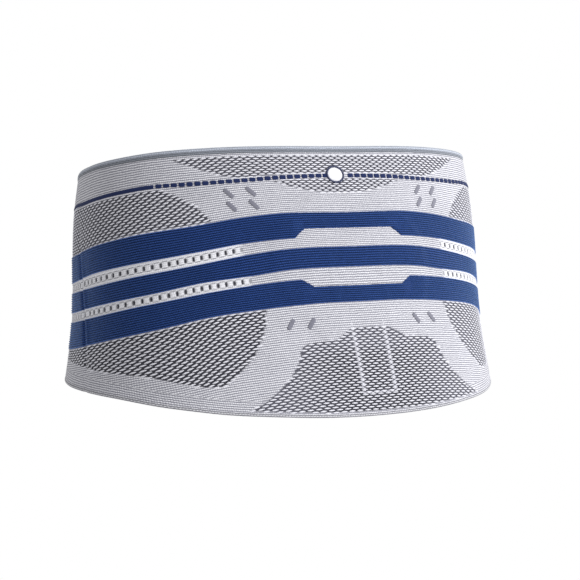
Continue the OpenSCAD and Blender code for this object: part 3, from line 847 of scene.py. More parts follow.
def gull(co):
    """A stitch with a nearly straight top, a pointed belly and thin, drooping ends."""
    along, up, out = co[:, 0], co[:, 1], co[:, 2]
    far = np.abs(along) / (np.abs(along).max() + 1e-9)
    up = np.where(up > 0, up * 0.75, up * (1.35 - 0.75 * far)) - 0.35 * far ** 2 + 0.1
    return along[None], up[None], out[None] * (1 - 0.35 * far[None])


def plain(co):
    """A lens as it is."""
    return co[:, 0][None], co[:, 1][None], co[:, 2][None]


def block(co):
    """A lens squared off into a rounded block."""
    square = np.sign(co) * np.abs(co / np.abs(co).max(0)) ** 0.4 * np.abs(co).max(0)
    return plain(square)


def sew(name, s, z, d, body_args, lay=None, pitch=2.9):
    """A line of sewing stitches along a path, evenly spaced."""
    s, z, d = np.broadcast_arrays(*(np.asarray(v, float) for v in (s, z, d)))
    run = np.concatenate([[0], np.cumsum(np.hypot(np.diff(s), np.diff(z)))])
    at = np.arange(pitch / 2, run[-1], pitch)
    ps, pz, pd = (np.interp(at, run, v) for v in (s, z, d))
    qs, qz = (np.interp(at + 0.1, run, v) for v in (s, z))
    return set_out(name, lens(8, 5), np.stack([ps, pz, pd], -1), (2.2, 0.55, 0.5),
                   np.degrees(np.arctan2(qz - pz, qs - ps)), plain, "thread", "seam_tape", body_args, lay)


STITCH_SINK = -0.12
LOWER_ROWS = 44
TAIL_STITCH = (3.6, 0.75, 0.7)      # length, height and thickness


def stitch_rows(part, row_at, rows):
    """Places and tilts of the open stitches of a stretch: row_at(s, row) is a row's height."""
    start, end = stretch(part)
    pitch = knit().stitch_pitch[0]
    last = WING_END - 12
    where, tilts = [], []
    for row in range(rows):
        offset = pitch / 2 * (row % 2)
        s = np.arange(math.ceil((start - offset) / pitch) * pitch + offset, end, pitch)
        z = row_at(s, row)
        slope = np.degrees(np.arctan((row_at(s + 1, row) - row_at(s - 1, row)) / 2))
        inside, _ = zones(s, z)
        keep = (inside > -0.1) & (np.abs(s) < last)
        lean = -STITCH_TILT * np.sign(s) * ramp((np.abs(s) - 60) / 60)
        where += [(a, b, STITCH_SINK) for a, b in zip(s[keep], z[keep])]
        tilts += list((slope + lean)[keep])
    return where, tilts


def make_stitches(part):
    """The white stitches of the open zones, above and below the blue bands."""
    rise = knit().stitch_pitch[1]
    above = mean_courses(BANDS["upper"][1], high_edge, rise)
    rows = {
        "upper": (lambda s, row: BANDS["upper"][1](s) + (high_edge(s) - BANDS["upper"][1](s))
                  * (row + 0.5) / above, above),
        "lower": (lambda s, row: BANDS["lower"][0](s) - (row + 0.75) * rise, LOWER_ROWS),
    }
    for name, (row_at, count) in rows.items():
        where, tilts = stitch_rows(part, row_at, count)
        set_out(part_name(part, "stitches_" + name), lens(), where, tuple(knit().stitch_size), tilts, gull,
                "yarn", "pale_knit", follow(part))


def make_tail_stitches():
    """The small stitches along the pressed edge of the pocket's tail, between the open ones."""
    rise = knit().stitch_pitch[1]
    heights = BANDS["lower"][0](TAIL_HALF) - rise * np.arange(8.25, -TAIL_FOOT / rise, 1)
    where = [(side * TAIL_HALF, z, -0.35) for z in heights[heights > TAIL_FOOT] for side in (-1, 1)]
    where += [(s, TAIL_FOOT, 0.05) for s in np.linspace(-TAIL_HALF, TAIL_HALF, 9)]
    set_out("tail_stitches", lens(), where, TAIL_STITCH, 0, gull, "yarn", "pale_knit", {"body": "back"})


DASH_PITCH, DASH_FIRST, DASH_COUNT = 6, 11, 23
DASH_SIZE = (5.0, 3.1, 0.9)
TUCK_SIZE = (9.4, 3.2, 1.0)
TUCKS = ((73.5, 71.5, 42), (90.5, 70.5, 44), (72.5, 62, 46), (89.5, 61, 46), (59.5, -25.5, -54),
         (44, -25.5, -54))          # place, height and tilt of each, on both sides of the middle
MARK_PROUD = 0.1
LINE_FROM, LINE_TO = 147, 333       # arc lengths between which the line runs unbroken
LINE_HEIGHT = 3.3


def make_marks():
    """The thin line's dashes over the back and the slanted grey tucks."""
    template = lens(12, 7)
    dash_at = [DASH_FIRST + DASH_PITCH * k for k in range(DASH_COUNT)]
    dashes = [(side * s, float(edge(s, LINE_MIDDLE)), MARK_PROUD) for side in (-1, 1) for s in dash_at]
    set_out("line_dashes", template, dashes, DASH_SIZE, 0, block, "line", "navy_rib", {"body": "back"})
    places = [(side * s, z, MARK_PROUD) for s, z, _ in TUCKS for side in (-1, 1)]
    tilts = [side * tilt for _, _, tilt in TUCKS for side in (-1, 1)]
    set_out("slanted_tucks", template, places, TUCK_SIZE, tilts, block, "tuck", "pale_knit",
            {"body": "back"})


def make_line(part):
    """The thin line where it runs on unbroken, round each side."""
    side, _ = side_and_front()
    for sign in ((-1, 1) if part == "back" else (WINGS[part],)):
        start, end = (LINE_FROM, side) if part == "back" else (side, LINE_TO)
        name = f"{'left' if sign < 0 else 'right'}_{'back' if part == 'back' else 'wing'}_line"
        obj, u, v = grid(name, round((end - start) / 2), 4)
        s = start + (end - start) * (u if sign > 0 else 1 - u)
        z = edge(s, LINE_MIDDLE) + (v - 0.5) * LINE_HEIGHT
        move_points(obj, skin(sign * s, z, 0.4 - 0.5 * (2 * v - 1) ** 2))
        set_uv(obj, sign * s, v * 2)
        modify(obj, "SOLIDIFY", thickness=0.8 * MM, offset=-1)
        smooth(obj)
        finish_piece(obj, "line", "navy_rib", **follow(part))


# Emblem, pad, stays and tapes ------------------------------------------------------------
def wrap(obj, middle_s, middle_z, base):
    """Lays a flat shape, modelled in mm round its own middle, on the belt."""
    co = points(obj)
    move_points(obj, skin(middle_s + co[:, 0], middle_z + co[:, 1], base + co[:, 2]))


EMBLEM_PLACE = (-2.5, 83)
RING_HALF = (7.1, 5.75)
RING_THICK = 0.85
FACE_HALF = (6.7, 5.4)
EMBLEM_SQUASH = 0.75


def make_emblem():
    """A plain oval badge: a domed white face in a navy ring."""
    deselect()
    bpy.ops.mesh.primitive_torus_add(major_radius=RING_HALF[0], minor_radius=RING_THICK, major_segments=64,
                                     minor_segments=12)
    ring = bpy.context.object
    ring.name = "emblem_ring"
    move_points(ring, points(ring) * np.array([1, RING_HALF[1] / RING_HALF[0], EMBLEM_SQUASH]))
    wrap(ring, *EMBLEM_PLACE, 0.45)
    smooth(ring)
    finish_piece(ring, "print", "emblem_ink", "back", stands_for=("emblem_outline",))
    deselect()
    bpy.ops.mesh.primitive_uv_sphere_add(segments=48, ring_count=16, radius=1)
    face = bpy.context.object
    face.name = "emblem_dome"
    move_points(face, points(face) * np.array([*FACE_HALF, EMBLEM_SQUASH]))
    wrap(face, *EMBLEM_PLACE, 0.2)
    smooth(face)
    finish_piece(face, "white", "emblem_white", "back", stands_for=("emblem_face",))


# Depths are from the knit's outer face, in mm, and below zero inwards
PAD_OUT, PAD_IN = -4.2, -7.2
COVER_IN, COVER_EDGE = -9.05, -2.5
TAPE_OUT = -2.85
NUB_PITCH = 15
NUB_SIZE = (8, 8, 5.7)
NUB_SHOW = 1.6                      # how far a nub presses the pocket out
COVER_GROW = 13                     # how far the pocket reaches past the pad
TAPE_GROW = (12.4, 18.6)
TAPE_LENGTH = 480


def pad_plan(u, v, grow=0.0):
    """Spreads a grid over the pad's outline, with rounded top and bottom, in mm."""
    low, high = PAD_HALF[0][0] - grow, PAD_HALF[-1][0] + grow
    z = low + (high - low) * v
    share = (z - low) / (high - low) * (PAD_HALF[-1][0] - PAD_HALF[0][0]) + PAD_HALF[0][0]
    half = (pad_half(share) + grow) * np.minimum(1, 0.42 + 0.58 * np.sqrt(np.clip(v * (1 - v) * 24, 0, 1)))
    return (2 * u - 1) * half, z


def nub_places():
    """Middles of the nubs that fit inside the pad, in staggered rows."""
    for row in range(-4, 4):
        for col in range(-4, 5):
            z = 2 + row * NUB_PITCH
            s = (col + (0 if row % 2 == 0 else 0.5)) * NUB_PITCH
            if abs(s) + 7 < pad_half(z):
                yield s, z


def nub_bulge(s, z, reach):
    """1 over the middle of a nub, falling to 0 between the nubs."""
    total = np.zeros(np.shape(s))
    for ns, nz in nub_places():
        total = np.maximum(total, np.exp(-(((s - ns) ** 2 + (z - nz) ** 2) / reach ** 2)))
    return total


def make_pad():
    """The gel pad, crowned and pulled in at its edge, with its massage nubs."""
    obj, u, v = grid("lumbar_pad", 96, 96)
    s, z = pad_plan(u, v)
    rim = np.minimum(1, 5 * np.minimum(np.minimum(u, 1 - u), np.minimum(v, 1 - v)))
    crown = np.sqrt(rim * (2 - rim))
    channel = 0.5 * bell(np.abs(s), 30, 1.6) + 0.5 * bell(s, 0, 1.6)
    middle = (PAD_OUT + PAD_IN) / 2
    half = (PAD_OUT - PAD_IN) / 2
    front = middle - half * (0.25 + 0.75 * crown) + channel * crown
    back = middle + half * (0.25 + 0.75 * crown)
    move_points(obj, skin(s, z, back))
    set_uv(obj, s, z)
    inner = skin(s, z, front)
    count = len(inner)
    modify(obj, "SOLIDIFY", thickness=MM, offset=-1)
    co = points(obj)
    co[count:] = inner
    move_points(obj, co)
    smooth(obj)
    finish_piece(obj, "gel", "pad_gel", "back", stands_for=("massage_pad",))
    places = [(s, z, PAD_IN - 0.9) for s, z in nub_places()]
    nubs = set_out("massage_nubs", lens(20, 12), places, NUB_SIZE, 0, plain, "nub", "nub_gel",
                   {"body": "back"})
    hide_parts("pad_nubs")


def make_pad_cover():
    """The lining pocket over the pad, with the nubs showing through."""
    obj, u, v = grid("pad_pocket", 120, 120)
    s, z = pad_plan(u, v, COVER_GROW)
    from_edge = np.minimum(np.minimum(u, 1 - u) * 150, np.minimum(v, 1 - v) * 150)
    rise = ramp(from_edge / 15)
    pucker = 0.35 * np.sin(np.arctan2(z + 8, s) * 60) * rise * (1 - rise) * 4
    bulge = NUB_SHOW * nub_bulge(s, z, 5.2) * rise
    depth = COVER_EDGE + (COVER_IN - COVER_EDGE) * rise + pucker - bulge
    move_points(obj, skin(s, z, depth))
    set_uv(obj, s, z / LINING_COURSE)
    modify(obj, "SOLIDIFY", thickness=0.8 * MM, offset=-1)
    smooth(obj)
    finish_piece(obj, "lining", "lining", "back", stands_for=("pad_cover",))


def make_pocket_tape():
    """The tape sewn round the pad's pocket with two rows of stitches."""
    tape, u, v = grid("pocket_tape", 360, 6)
    turn = u * 4
    side = np.floor(np.minimum(turn, 3.9999)).astype(int)
    t = turn - side
    pu = np.choose(side, [t, 1 + 0 * t, 1 - t, 0 * t])
    pv = np.choose(side, [0 * t, t, 1 + 0 * t, 1 - t])
    s0, z0 = pad_plan(pu, pv, TAPE_GROW[0])
    s1, z1 = pad_plan(pu, pv, TAPE_GROW[1])
    s, z = s0 + (s1 - s0) * v, z0 + (z1 - z0) * v
    stitch = 0.12 * np.cos(u * 360 * math.pi) * bell(v, 0.5, 0.16)
    move_points(tape, skin(s, z, TAPE_OUT - 0.35 * np.sqrt(np.clip(4 * v * (1 - v), 0, 1)) + stitch))
    set_uv(tape, u * TAPE_LENGTH, v * 6)
    edit(tape, (bpy.ops.mesh.remove_doubles, {"threshold": 0.000002}))
    modify(tape, "SOLIDIFY", thickness=0.6 * MM, offset=1)
    edit(tape, (bpy.ops.mesh.normals_make_consistent, {"inside": False}))
    smooth(tape)
    finish_piece(tape, "tape", "lining_tape", "back", stands_for=("pad_cover_tape",))
    line = np.linspace(0, 1, 90)
    flat = np.zeros(90)
    for row, grow in (("inner", 14), ("outer", 17)):
        path = [pad_plan(*side, grow) for side in
                ((line, flat), (flat + 1, line), (line[::-1], flat + 1), (flat, line[::-1]))]
        ps, pz = (np.concatenate(parts) for parts in zip(*path))
        sew("pocket_tape_stitches_" + row, ps, pz, -3.3, {"body": "back"})


def patch(name, s_range, z_range, cols, rows, depth, thick, finish, slot, body, node, bevel=0.0,
          hinge=None):
    """A thin piece laid against the inside of the belt: depth is a function of (s, z, u, v)."""
    obj, u, v = grid(name, cols, rows)
    s = s_range[0] + (s_range[1] - s_range[0]) * u
    low, high = (np.asarray(z(s), float) if callable(z) else z for z in z_range)
    z = low + (high - low) * v
    move_points(obj, skin(s, z, depth(s, z, u, v)))
    set_uv(obj, s, z / LINING_COURSE)
    modify(obj, "SOLIDIFY", thickness=thick * MM, offset=-1)
    if bevel:
        modify(obj, "BEVEL", width=bevel * MM, segments=2, limit_method="ANGLE")
    smooth(obj, 40)
    return finish_piece(obj, finish, slot, body, hinge, (node,))


STAY_HALF, CAP_HALF, TUNNEL_HALF = 4, 4.5, 8
CAP_LENGTH = 5
TUNNEL_SEAM = 6.6                   # from the tunnel's middle to its stitches


def make_stay(name, middle, z0, z1, body, node):
    """A spring steel strip, slightly curved across its width, with rounded edges."""
    patch(name + "_strip", (middle - STAY_HALF, middle + STAY_HALF), (z0, z1), 8, 48,
          lambda s, z, u, v: -2.15 - 0.25 * (2 * u - 1) ** 2, 0.7, "steel", "stay_steel", body, node,
          bevel=0.15)


def make_caps(name, middles, z0, z1, body, node):
    """Moulded caps on the ends of a stay."""
    for k, middle in enumerate(middles):
        for end, low in (("low", z0 - CAP_LENGTH), ("high", z1 + 0.05)):
            patch(f"{name}_{end}_{k + 1}", (middle - CAP_HALF, middle + CAP_HALF),
                  (low, low + CAP_LENGTH - 0.05), 10, 8, lambda s, z, u, v: -2.1 - 0.2 * (2 * u - 1) ** 2,
                  1.0, "cap", "cap_plastic", body, node, bevel=0.35)


def make_channel(name, middle, z0, z1, body, node):
    """The lining tunnel that holds a stay, sewn down along both lips."""
    def depth(s, z, u, v):
        a = np.abs(s - middle)
        over = ramp((5.6 - a) / 1.6) * ramp(np.minimum(v, 1 - v) * 24)
        seam = 0.18 * bell(a, TUNNEL_SEAM, 0.35)
        return -2.0 - 1.25 * over + seam + 0.08 * np.sin(z * 1.1 + a) * over
    patch(name + "_tunnel", (middle - TUNNEL_HALF, middle + TUNNEL_HALF), (z0 - 8, z1 + 8), 40, 90, depth,
          0.6, "lining", "lining", body, node)
    for side in (-1, 1):
        sew(f"{name}_tunnel_stitches_{'high' if side > 0 else 'low'}", [middle + side * TUNNEL_SEAM] * 2,
            [z0 - 6, z1 + 6], -2.55, {"body": body})


def make_stays():
    """A spine stay and a front stay on each side, in their tunnels, with caps on their ends."""
    for side, sign in WINGS.items():
        for kind, at, span, body in (("spine", STAY_OFFSET, SPINE_STAY, "back"),
                                     ("front", FRONT_STAY_AT, FRONT_STAY, side + "_wing")):
            name = f"{side}_{kind}"
            make_stay(name, sign * at, *span, body, name + "_stay")
            make_channel(name, sign * at, *span, body, name + "_channel")
        make_caps(side + "_front_cap", (sign * FRONT_STAY_AT,), *FRONT_STAY, side + "_wing",
                  side + "_stay_caps")
    make_caps("spine_cap", (-STAY_OFFSET, STAY_OFFSET), *SPINE_STAY, "back", "spine_stay_caps")


LABEL_ALONG, LABEL_UP = (109, 131), (-38, -2)
SIDE_TAPE = (1, 13)                 # how far a side tape lies past the side seam
FRONT_SEAM = (334, 346)
SEAM_ROW = 3.6                      # from the seam's middle to each row of stitches


def make_tapes():
    """The care label, the tapes over the side seams and the seams at the closure panels."""
    patch("satin_label", LABEL_ALONG, LABEL_UP, 22, 36,
          lambda s, z, u, v: -2.15 - 0.9 * ramp((0.75 - v) / 0.75) * (0.6 + 0.4 * np.cos(u * 6.3)),
          0.35, "label", "label_satin", "back", "care_label")
    side, _ = side_and_front()
    for name, sign in WINGS.items():
        ends = sorted(sign * (side + past) for past in SIDE_TAPE)
        patch(name + "_seam_tape", ends, (lambda s: low_edge(s) + 2, lambda s: high_edge(s) - 2), 12, 180,
              lambda s, z, u, v: -2.05 - 0.3 * np.sqrt(np.clip(4 * u * (1 - u), 0, 1))
              + 0.1 * np.cos(z * 2.1), 0.5, "tape", "lining_tape", follow(name)["body"],
              name + "_side_tape", hinge=follow(name)["hinge"])
        ends = sorted(sign * at for at in FRONT_SEAM)
        patch(name + "_front_seam", ends, (lambda s: low_edge(s) + 3, lambda s: high_edge(s) - 3), 24, 160,
              lambda s, z, u, v: 0.55 + 0.25 * np.sqrt(np.clip(4 * u * (1 - u), 0, 1))
              - 0.16 * bell(np.abs(u - 0.5), 0.3, 0.05) * (0.5 + 0.5 * np.cos(z * 2.4)),
              0.7, "binding", "seam_tape", name + "_wing", name + "_panel_seam")
        for row, shift in (("near", -SEAM_ROW), ("far", SEAM_ROW)):
            sew(f"{name}_seam_stitches_{row}", [sign * (WING_END + shift)] * 2, [-50, 60], 0.72,
                {"body": name + "_wing"})


# Closure panels ---------------------------------------------------------------------------
PANEL_HEIGHT = 122
PANEL_MIDDLE = 4                    # height of the panels' middle
PANEL_TAPER = 0.07                  # loss of half height for each mm of length
PANEL_CORNER = 28
PANEL_START = WING_END + 0.3
PANEL_THICK = 2.2
PILE_INSET = 1.2                    # from the panel's edge to the pile's, under the binding
LIFT_FROM, LIFT_LENGTH = 347, 50    # where the outer panel rises over the inner one
BINDING_WIDTH = 5
BINDING_SEAM = 3.7                  # from the panel's edge to the binding's stitches
OVERLAP = {"inner": 30, "outer": 45}
POCKET_HALF = 27
POCKET_GAPE = 10
INNER_POCKET, OUTER_POCKET = (350, 408), (432, 490)     # arc lengths of the mouth and the closed end
LOOP_AT, HOOK_AT = 448, 472         # arc lengths of the middles of the fastening fields
# Half width of each field by height
LOOP_FIELD = ((-30, 20), (-25, 28), (4, 32), (33, 28), (38, 20))
HOOK_FIELD = ((-26, 14), (-22, 20), (4, 21), (30, 20), (34, 14))


def panel_end(kind):
    """Arc length at which a panel ends, past the middle of the front."""
    return side_and_front()[1] + OVERLAP[kind]


def panel_half(s, end, inset=0.0):
    """Half height of a panel, less at its rounded corners."""
    r = PANEL_CORNER - inset
    t = np.maximum(0, s - (end - PANEL_CORNER))
    corner = r - np.sqrt(np.maximum(0, r * r - t * t))
    return PANEL_HEIGHT / 2 - inset - PANEL_TAPER * (s - WING_END) - corner


def panel_depth(kind, s):
    """Distance of a panel's outer face from the knit's face, in mm."""
    if kind == "inner":
        return np.full(np.shape(s), -0.2)
    return (1.2 + PANEL_THICK) * ramp((s - LIFT_FROM) / LIFT_LENGTH)


def on_panel(kind):
    """Lays points on a panel's outer face: the inner panel is on the left wing."""
    sign = -1 if kind == "inner" else 1
    return lambda s, z, d: place(sign * s, z, panel_depth(kind, s) + d)


PANEL_BODY = {
    "inner": {"body": "left_wing"},
    "outer": {"body": "right_wing", "hinge": ("right_flap", (0.064, 0.119, 0), (0.048, 0.119, 0))},
}


def make_panel(kind):
    """A closure panel: foam-backed pile with quilted ribs, thinner at its bound edge."""
    end = panel_end(kind)
    obj, u, v = grid(kind + "_panel_pile", 150, 110)
    last = end - PILE_INSET
    u = np.where(u < 0.7, u / 0.7 * 0.78, 0.78 + 0.22 * np.sin((u - 0.7) / 0.3 * math.pi / 2))
    s = PANEL_START + (last - PANEL_START) * u
    half = panel_half(s, end, PILE_INSET)
    z = PANEL_MIDDLE + half * (2 * v - 1)
    inside = np.minimum(half * (1 - np.abs(2 * v - 1)), last - s)
    crown = ramp(inside / 6)
    quilt = (0.3 if kind == "inner" else 0.5) * np.abs(np.sin((s - PANEL_START) * math.pi / 9)) * crown
    step = 1 if kind == "outer" else -1
    move_points(obj, on_panel(kind)(s, z, -0.9 + 0.55 * crown + quilt))
    set_uv(obj, s, z / LINING_COURSE)
    modify(obj, "SOLIDIFY", thickness=1.5 * MM, offset=-step)
    edit(obj, (bpy.ops.mesh.normals_make_consistent, {"inside": False}))
    smooth(obj)
    nodes = ("inner_panel",) if kind == "inner" else ("outer_panel_root", "outer_flap")
    finish_piece(obj, "panel", "panel_foam", stands_for=nodes, **PANEL_BODY[kind])


def panel_rim(kind, t):
    """The panel's outline from its lower root round the free end to its upper root, t from 0 to 1."""
    end = panel_end(kind)
    straight = end - PANEL_CORNER - PANEL_START
    flat = 2 * panel_half(end, end)
    arc = PANEL_CORNER * math.pi / 2
    total = 2 * straight + 2 * arc + flat
    far = np.minimum(t, 1 - t) * total
    on_line, on_arc = far < straight, far < straight + arc
    turn = np.clip((far - straight) / PANEL_CORNER, 0, math.pi / 2)
    rounded = end - PANEL_CORNER + PANEL_CORNER * np.sin(turn)
    s = np.where(on_line, PANEL_START + far, np.where(on_arc, rounded, end))
    half = np.where(on_arc, panel_half(s, end), np.maximum(0, total / 2 - far))
    return s, np.where(t < 0.5, -half, half)


def beside_rim(kind, t, across):
    """Points beside the panel's outline, at a distance across it, in mm outwards."""
    s, half = panel_rim(kind, t)
    s1, half1 = panel_rim(kind, np.clip(t + 0.002, 0, 1))
    s0, half0 = panel_rim(kind, np.clip(t - 0.002, 0, 1))
    run = np.hypot(s1 - s0, half1 - half0)
    return s + across * (half1 - half0) / run, PANEL_MIDDLE + half - across * (s1 - s0) / run


def make_binding(kind):
    """A binding tape folded over the panel's edge, with a line of stitches."""
    obj, u, v = grid(kind + "_panel_edging", 420, 20)
    turn = 2 * math.pi * v
    c, w = np.cos(turn), np.sin(turn)
    across = -BINDING_WIDTH / 2 + BINDING_WIDTH / 2 * np.sign(c) * np.abs(c) ** 0.6
    thick = PANEL_THICK / 2 + 0.25
    stitch = 0.22 * bell(across, -3.9, 0.5) * (0.5 + 0.5 * np.cos(u * 420 * math.pi / 2))
    out = -PANEL_THICK / 2 + (thick - stitch) * np.sign(w) * np.abs(w) ** 0.6
    move_points(obj, on_panel(kind)(*beside_rim(kind, u, across), out))
    set_uv(obj, u * 420, v * 8)
    close_tube(obj)
    smooth(obj, 70)
    nodes = ("inner_panel_binding",) if kind == "inner" else ("outer_root_binding", "outer_flap_binding")
    finish_piece(obj, "binding", "binding", stands_for=nodes, **PANEL_BODY[kind])
    seam = beside_rim(kind, np.linspace(0.004, 0.996, 400), -BINDING_SEAM)
    sew(kind + "_edging_stitches", *seam, 0.22, PANEL_BODY[kind], on_panel(kind))


def field(name, kind, middle, table, base, thick, tufts, finish, slot, body, node, side=1):
    """A sewn-on fastening field whose face is raised in small tufts."""
    obj, u, v = grid(name, 72, 108)
    low, high = table[0][0], table[-1][0]
    z = low + (high - low) * v
    half = np.interp(z, *np.array(table, float).T)
    s = middle + (2 * u - 1) * half
    rim = ramp(np.minimum(np.minimum(u, 1 - u), np.minimum(v, 1 - v)) * 22)
    bumps = tufts * np.abs(np.sin(s * 2.1 + np.sin(z))) * np.abs(np.sin(z * 1.9)) * rim
    sign = -1 if kind == "inner" else 1
    move_points(obj, place(sign * s, z, base + side * (thick * 0.5 + bumps)))
    set_uv(obj, s, z / LINING_COURSE)
    modify(obj, "SOLIDIFY", thickness=thick * MM, offset=-side * sign)
    edit(obj, (bpy.ops.mesh.normals_make_consistent, {"inside": False}))
    smooth(obj)
    finish_piece(obj, finish, slot, body, stands_for=(node,))


def make_fields():
    """The loop field on the inner panel and the hook patch under the outer flap."""
    field("loop_pile_field", "inner", LOOP_AT, LOOP_FIELD, 0.0, 0.3, 0.15, "loop", "loop_pile", "left_wing",
          "loop_field")
    field("hook_tape_patch", "outer", HOOK_AT, HOOK_FIELD, 1.1, 0.45, 0.3, "hook", "hook_tape", "right_flap",
          "hook_patch", side=-1)


def make_pocket(kind, mouth, closed, body):
    """A finger pocket: a ribbed sleeve that gapes at its mouth, with a hem round it."""
    def gape(z, t):
        across = np.clip((z - PANEL_MIDDLE) / POCKET_HALF, -1, 1)
        return POCKET_GAPE * np.cos(across * math.pi / 2) ** 0.9 * (1 - ramp(t))

    def sleeve(t, v):
        z = PANEL_MIDDLE + POCKET_HALF * (2 * v - 1) * (1 - 0.12 * t)
        s = mouth + (closed - mouth) * t
        seam = ramp(np.minimum(np.minimum(v, 1 - v) * 24, (1 - t) * 20))
        rib = 0.16 * np.cos(2 * math.pi * z / LINING_COURSE) * seam
        fold = 0.5 * np.sin(s * 0.5) * np.sin(z * 0.22) * seam * (1 - t)
        return s, z, 0.25 + gape(z, t) + 0.75 * seam + rib + fold

    step = 1 if kind == "outer" else -1
    obj, u, v = grid(kind + "_pocket_sleeve", 60, 130)
    s, z, d = sleeve(u, v)
    move_points(obj, on_panel(kind)(s, z, d))
    near, far = 0.035, 0.965
    line = np.linspace(0.06, far, 80)
    path = [sleeve(line, near + 0 * line), sleeve(far + 0 * line, np.linspace(near, far, 80)),
            sleeve(line[::-1], far + 0 * line)]
    ps, pz, pd = (np.concatenate(parts) for parts in zip(*path))
    sew(kind + "_pocket_stitches", ps, pz, pd + 0.1, {"body": body}, on_panel(kind))
    set_uv(obj, s, z / LINING_COURSE)
    modify(obj, "SOLIDIFY", thickness=0.9 * MM, offset=-step)
    edit(obj, (bpy.ops.mesh.normals_make_consistent, {"inside": False}))
    smooth(obj)
    finish_piece(obj, "pocket", "pocket_fabric", body, stands_for=(kind + "_finger_pocket",))
    hem, u, v = grid(kind + "_pocket_lip", 130, 14)
    z = PANEL_MIDDLE + POCKET_HALF * (2 * u - 1)
    turn = 2 * math.pi * v
    s = mouth - 1.9 + 2.0 * np.cos(turn)
    out = 0.95 + gape(z, 0 * z) + 0.9 * np.sin(turn)
    move_points(hem, on_panel(kind)(s, z, out))
    set_uv(hem, z, v * 6)
    close_tube(hem)
    smooth(hem)
    finish_piece(hem, "binding", "pocket_edge", body, stands_for=(kind + "_pocket_hem",))


# Camera, light and floor --------------------------------------------------------------------
CAMERA_DISTANCE = 1.29              # metres
CAMERA_TURN = -25.0                 # degrees from behind the belt
CAMERA_RISE = 1.5
CAMERA_ROLL = -1.65
CAMERA_LENS = 100
CAMERA_SHIFT = (0.0207, -0.0086)
STUDIO_FILL = 0.54                  # strength of the studio's light; the backdrop itself is white
FLOOR_HEIGHT = -0.6
FLOOR_SIZE = 1.8
# Azimuth and elevation in degrees, distance and size in metres, power in watts
LAMPS = {"key": (30, 24, 1.8, 0.9, 28), "right": (88, 16, 1.9, 0.9, 12), "top": (10, 80, 1.6, 1.2, 6),
         "closure": (165, 30, 2.0, 1.0, 16)}


def turned(azimuth, elevation, distance):
    """A point seen from behind the belt at an azimuth and elevation, in degrees."""
    a, e = math.radians(azimuth), math.radians(elevation)
    return Vector((math.sin(a) * math.cos(e), -math.cos(a) * math.cos(e), math.sin(e))) * distance


def make_lamp(name, azimuth, elevation, distance, size, power):
    deselect()
    spot = turned(azimuth, elevation, distance)
    bpy.ops.object.light_add(type="AREA", location=spot, rotation=(-spot).to_track_quat("-Z", "Y").to_euler())
    light = bpy.context.object
    light.name = name
    light.data.size = size
    light.data.energy = power


def make_camera():
    deselect()
    spot = turned(CAMERA_TURN, CAMERA_RISE, CAMERA_DISTANCE)
    aim = (-spot).to_track_quat("-Z", "Y").to_matrix()
    roll = Euler((0, 0, math.radians(CAMERA_ROLL))).to_matrix()
    bpy.ops.object.camera_add(location=spot, rotation=(aim @ roll).to_euler())
    camera = bpy.context.object
    camera.data.lens = CAMERA_LENS
    camera.data.shift_x, camera.data.shift_y = CAMERA_SHIFT
    bpy.context.scene.camera = camera


def make_floor():
    bpy.ops.mesh.primitive_grid_add(x_subdivisions=8, y_subdivisions=8, size=FLOOR_SIZE,
                                    location=(0, 0, FLOOR_HEIGHT))
    floor = bpy.context.object
    floor.name = "floor"
    floor.data.materials.append(cloth_material("pale_floor", (0.86, 0.86, 0.87), weave=60, sheen=0.0,
                                               contrast=0.02, relief=0.02))


def make_studio():
    """An even white light all round, with a plain white backdrop for the camera."""
    world = bpy.data.worlds.new("studio")
    world.use_nodes = True
    tree = world.node_tree
    backdrop = scaled(tree, add(tree, "LightPath").outputs["Is Camera Ray"], 1.0 - STUDIO_FILL, STUDIO_FILL)
    background = tree.nodes["Background"]
    tree.links.new(backdrop, background.inputs["Strength"])
    background.inputs["Color"].default_value = (1, 1, 1, 1)
    bpy.context.scene.world = world
    bpy.context.scene.view_settings.view_transform = "Standard"


def make_stage():
    """Sets up the camera, the floor, the studio's light and the lamps."""
    make_camera()
    make_floor()
    make_studio()
    for name, values in LAMPS.items():
        make_lamp(name, *values)


# Operators and panel --------------------------------------------------------------------------
class KNIT_OT_belt(bpy.types.Operator):
    """Knit the pale fabric of the back and the wings"""
    bl_idname = "belt.knit"
    bl_label = "Pale knit"
    bl_options = {"REGISTER", "UNDO"}

    def execute(self, context):
        for part in PARTS:
            make_knit(part)
        return {"FINISHED"}


class BANDS_OT_belt(bpy.types.Operator):
    """Knit the three ribbed blue bands"""
    bl_idname = "belt.bands"
    bl_label = "Blue bands"
    bl_options = {"REGISTER", "UNDO"}

    def execute(self, context):
        for part in PARTS:
            make_bands(part)
        return {"FINISHED"}


class EDGES_OT_belt(bpy.types.Operator):
    """Roll the top rim and the hem"""
    bl_idname = "belt.edges"
    bl_label = "Rim and hem"
    bl_options = {"REGISTER", "UNDO"}

    def execute(self, context):
        for part in PARTS:
            make_edges(part)
        return {"FINISHED"}


class STITCHES_OT_belt(bpy.types.Operator):
    """Set out the open stitches, the thin line and the tucks"""
    bl_idname = "belt.stitches"
    bl_label = "Open stitches and line"
    bl_options = {"REGISTER", "UNDO"}

    def execute(self, context):
        for part in PARTS:
            make_stitches(part)
            make_line(part)
        make_tail_stitches()
        make_marks()
        return {"FINISHED"}


class EMBLEM_OT_belt(bpy.types.Operator):
    """Mould the plain oval badge"""
    bl_idname = "belt.emblem"
    bl_label = "Badge"
    bl_options = {"REGISTER", "UNDO"}

    def execute(self, context):
        make_emblem()
        return {"FINISHED"}


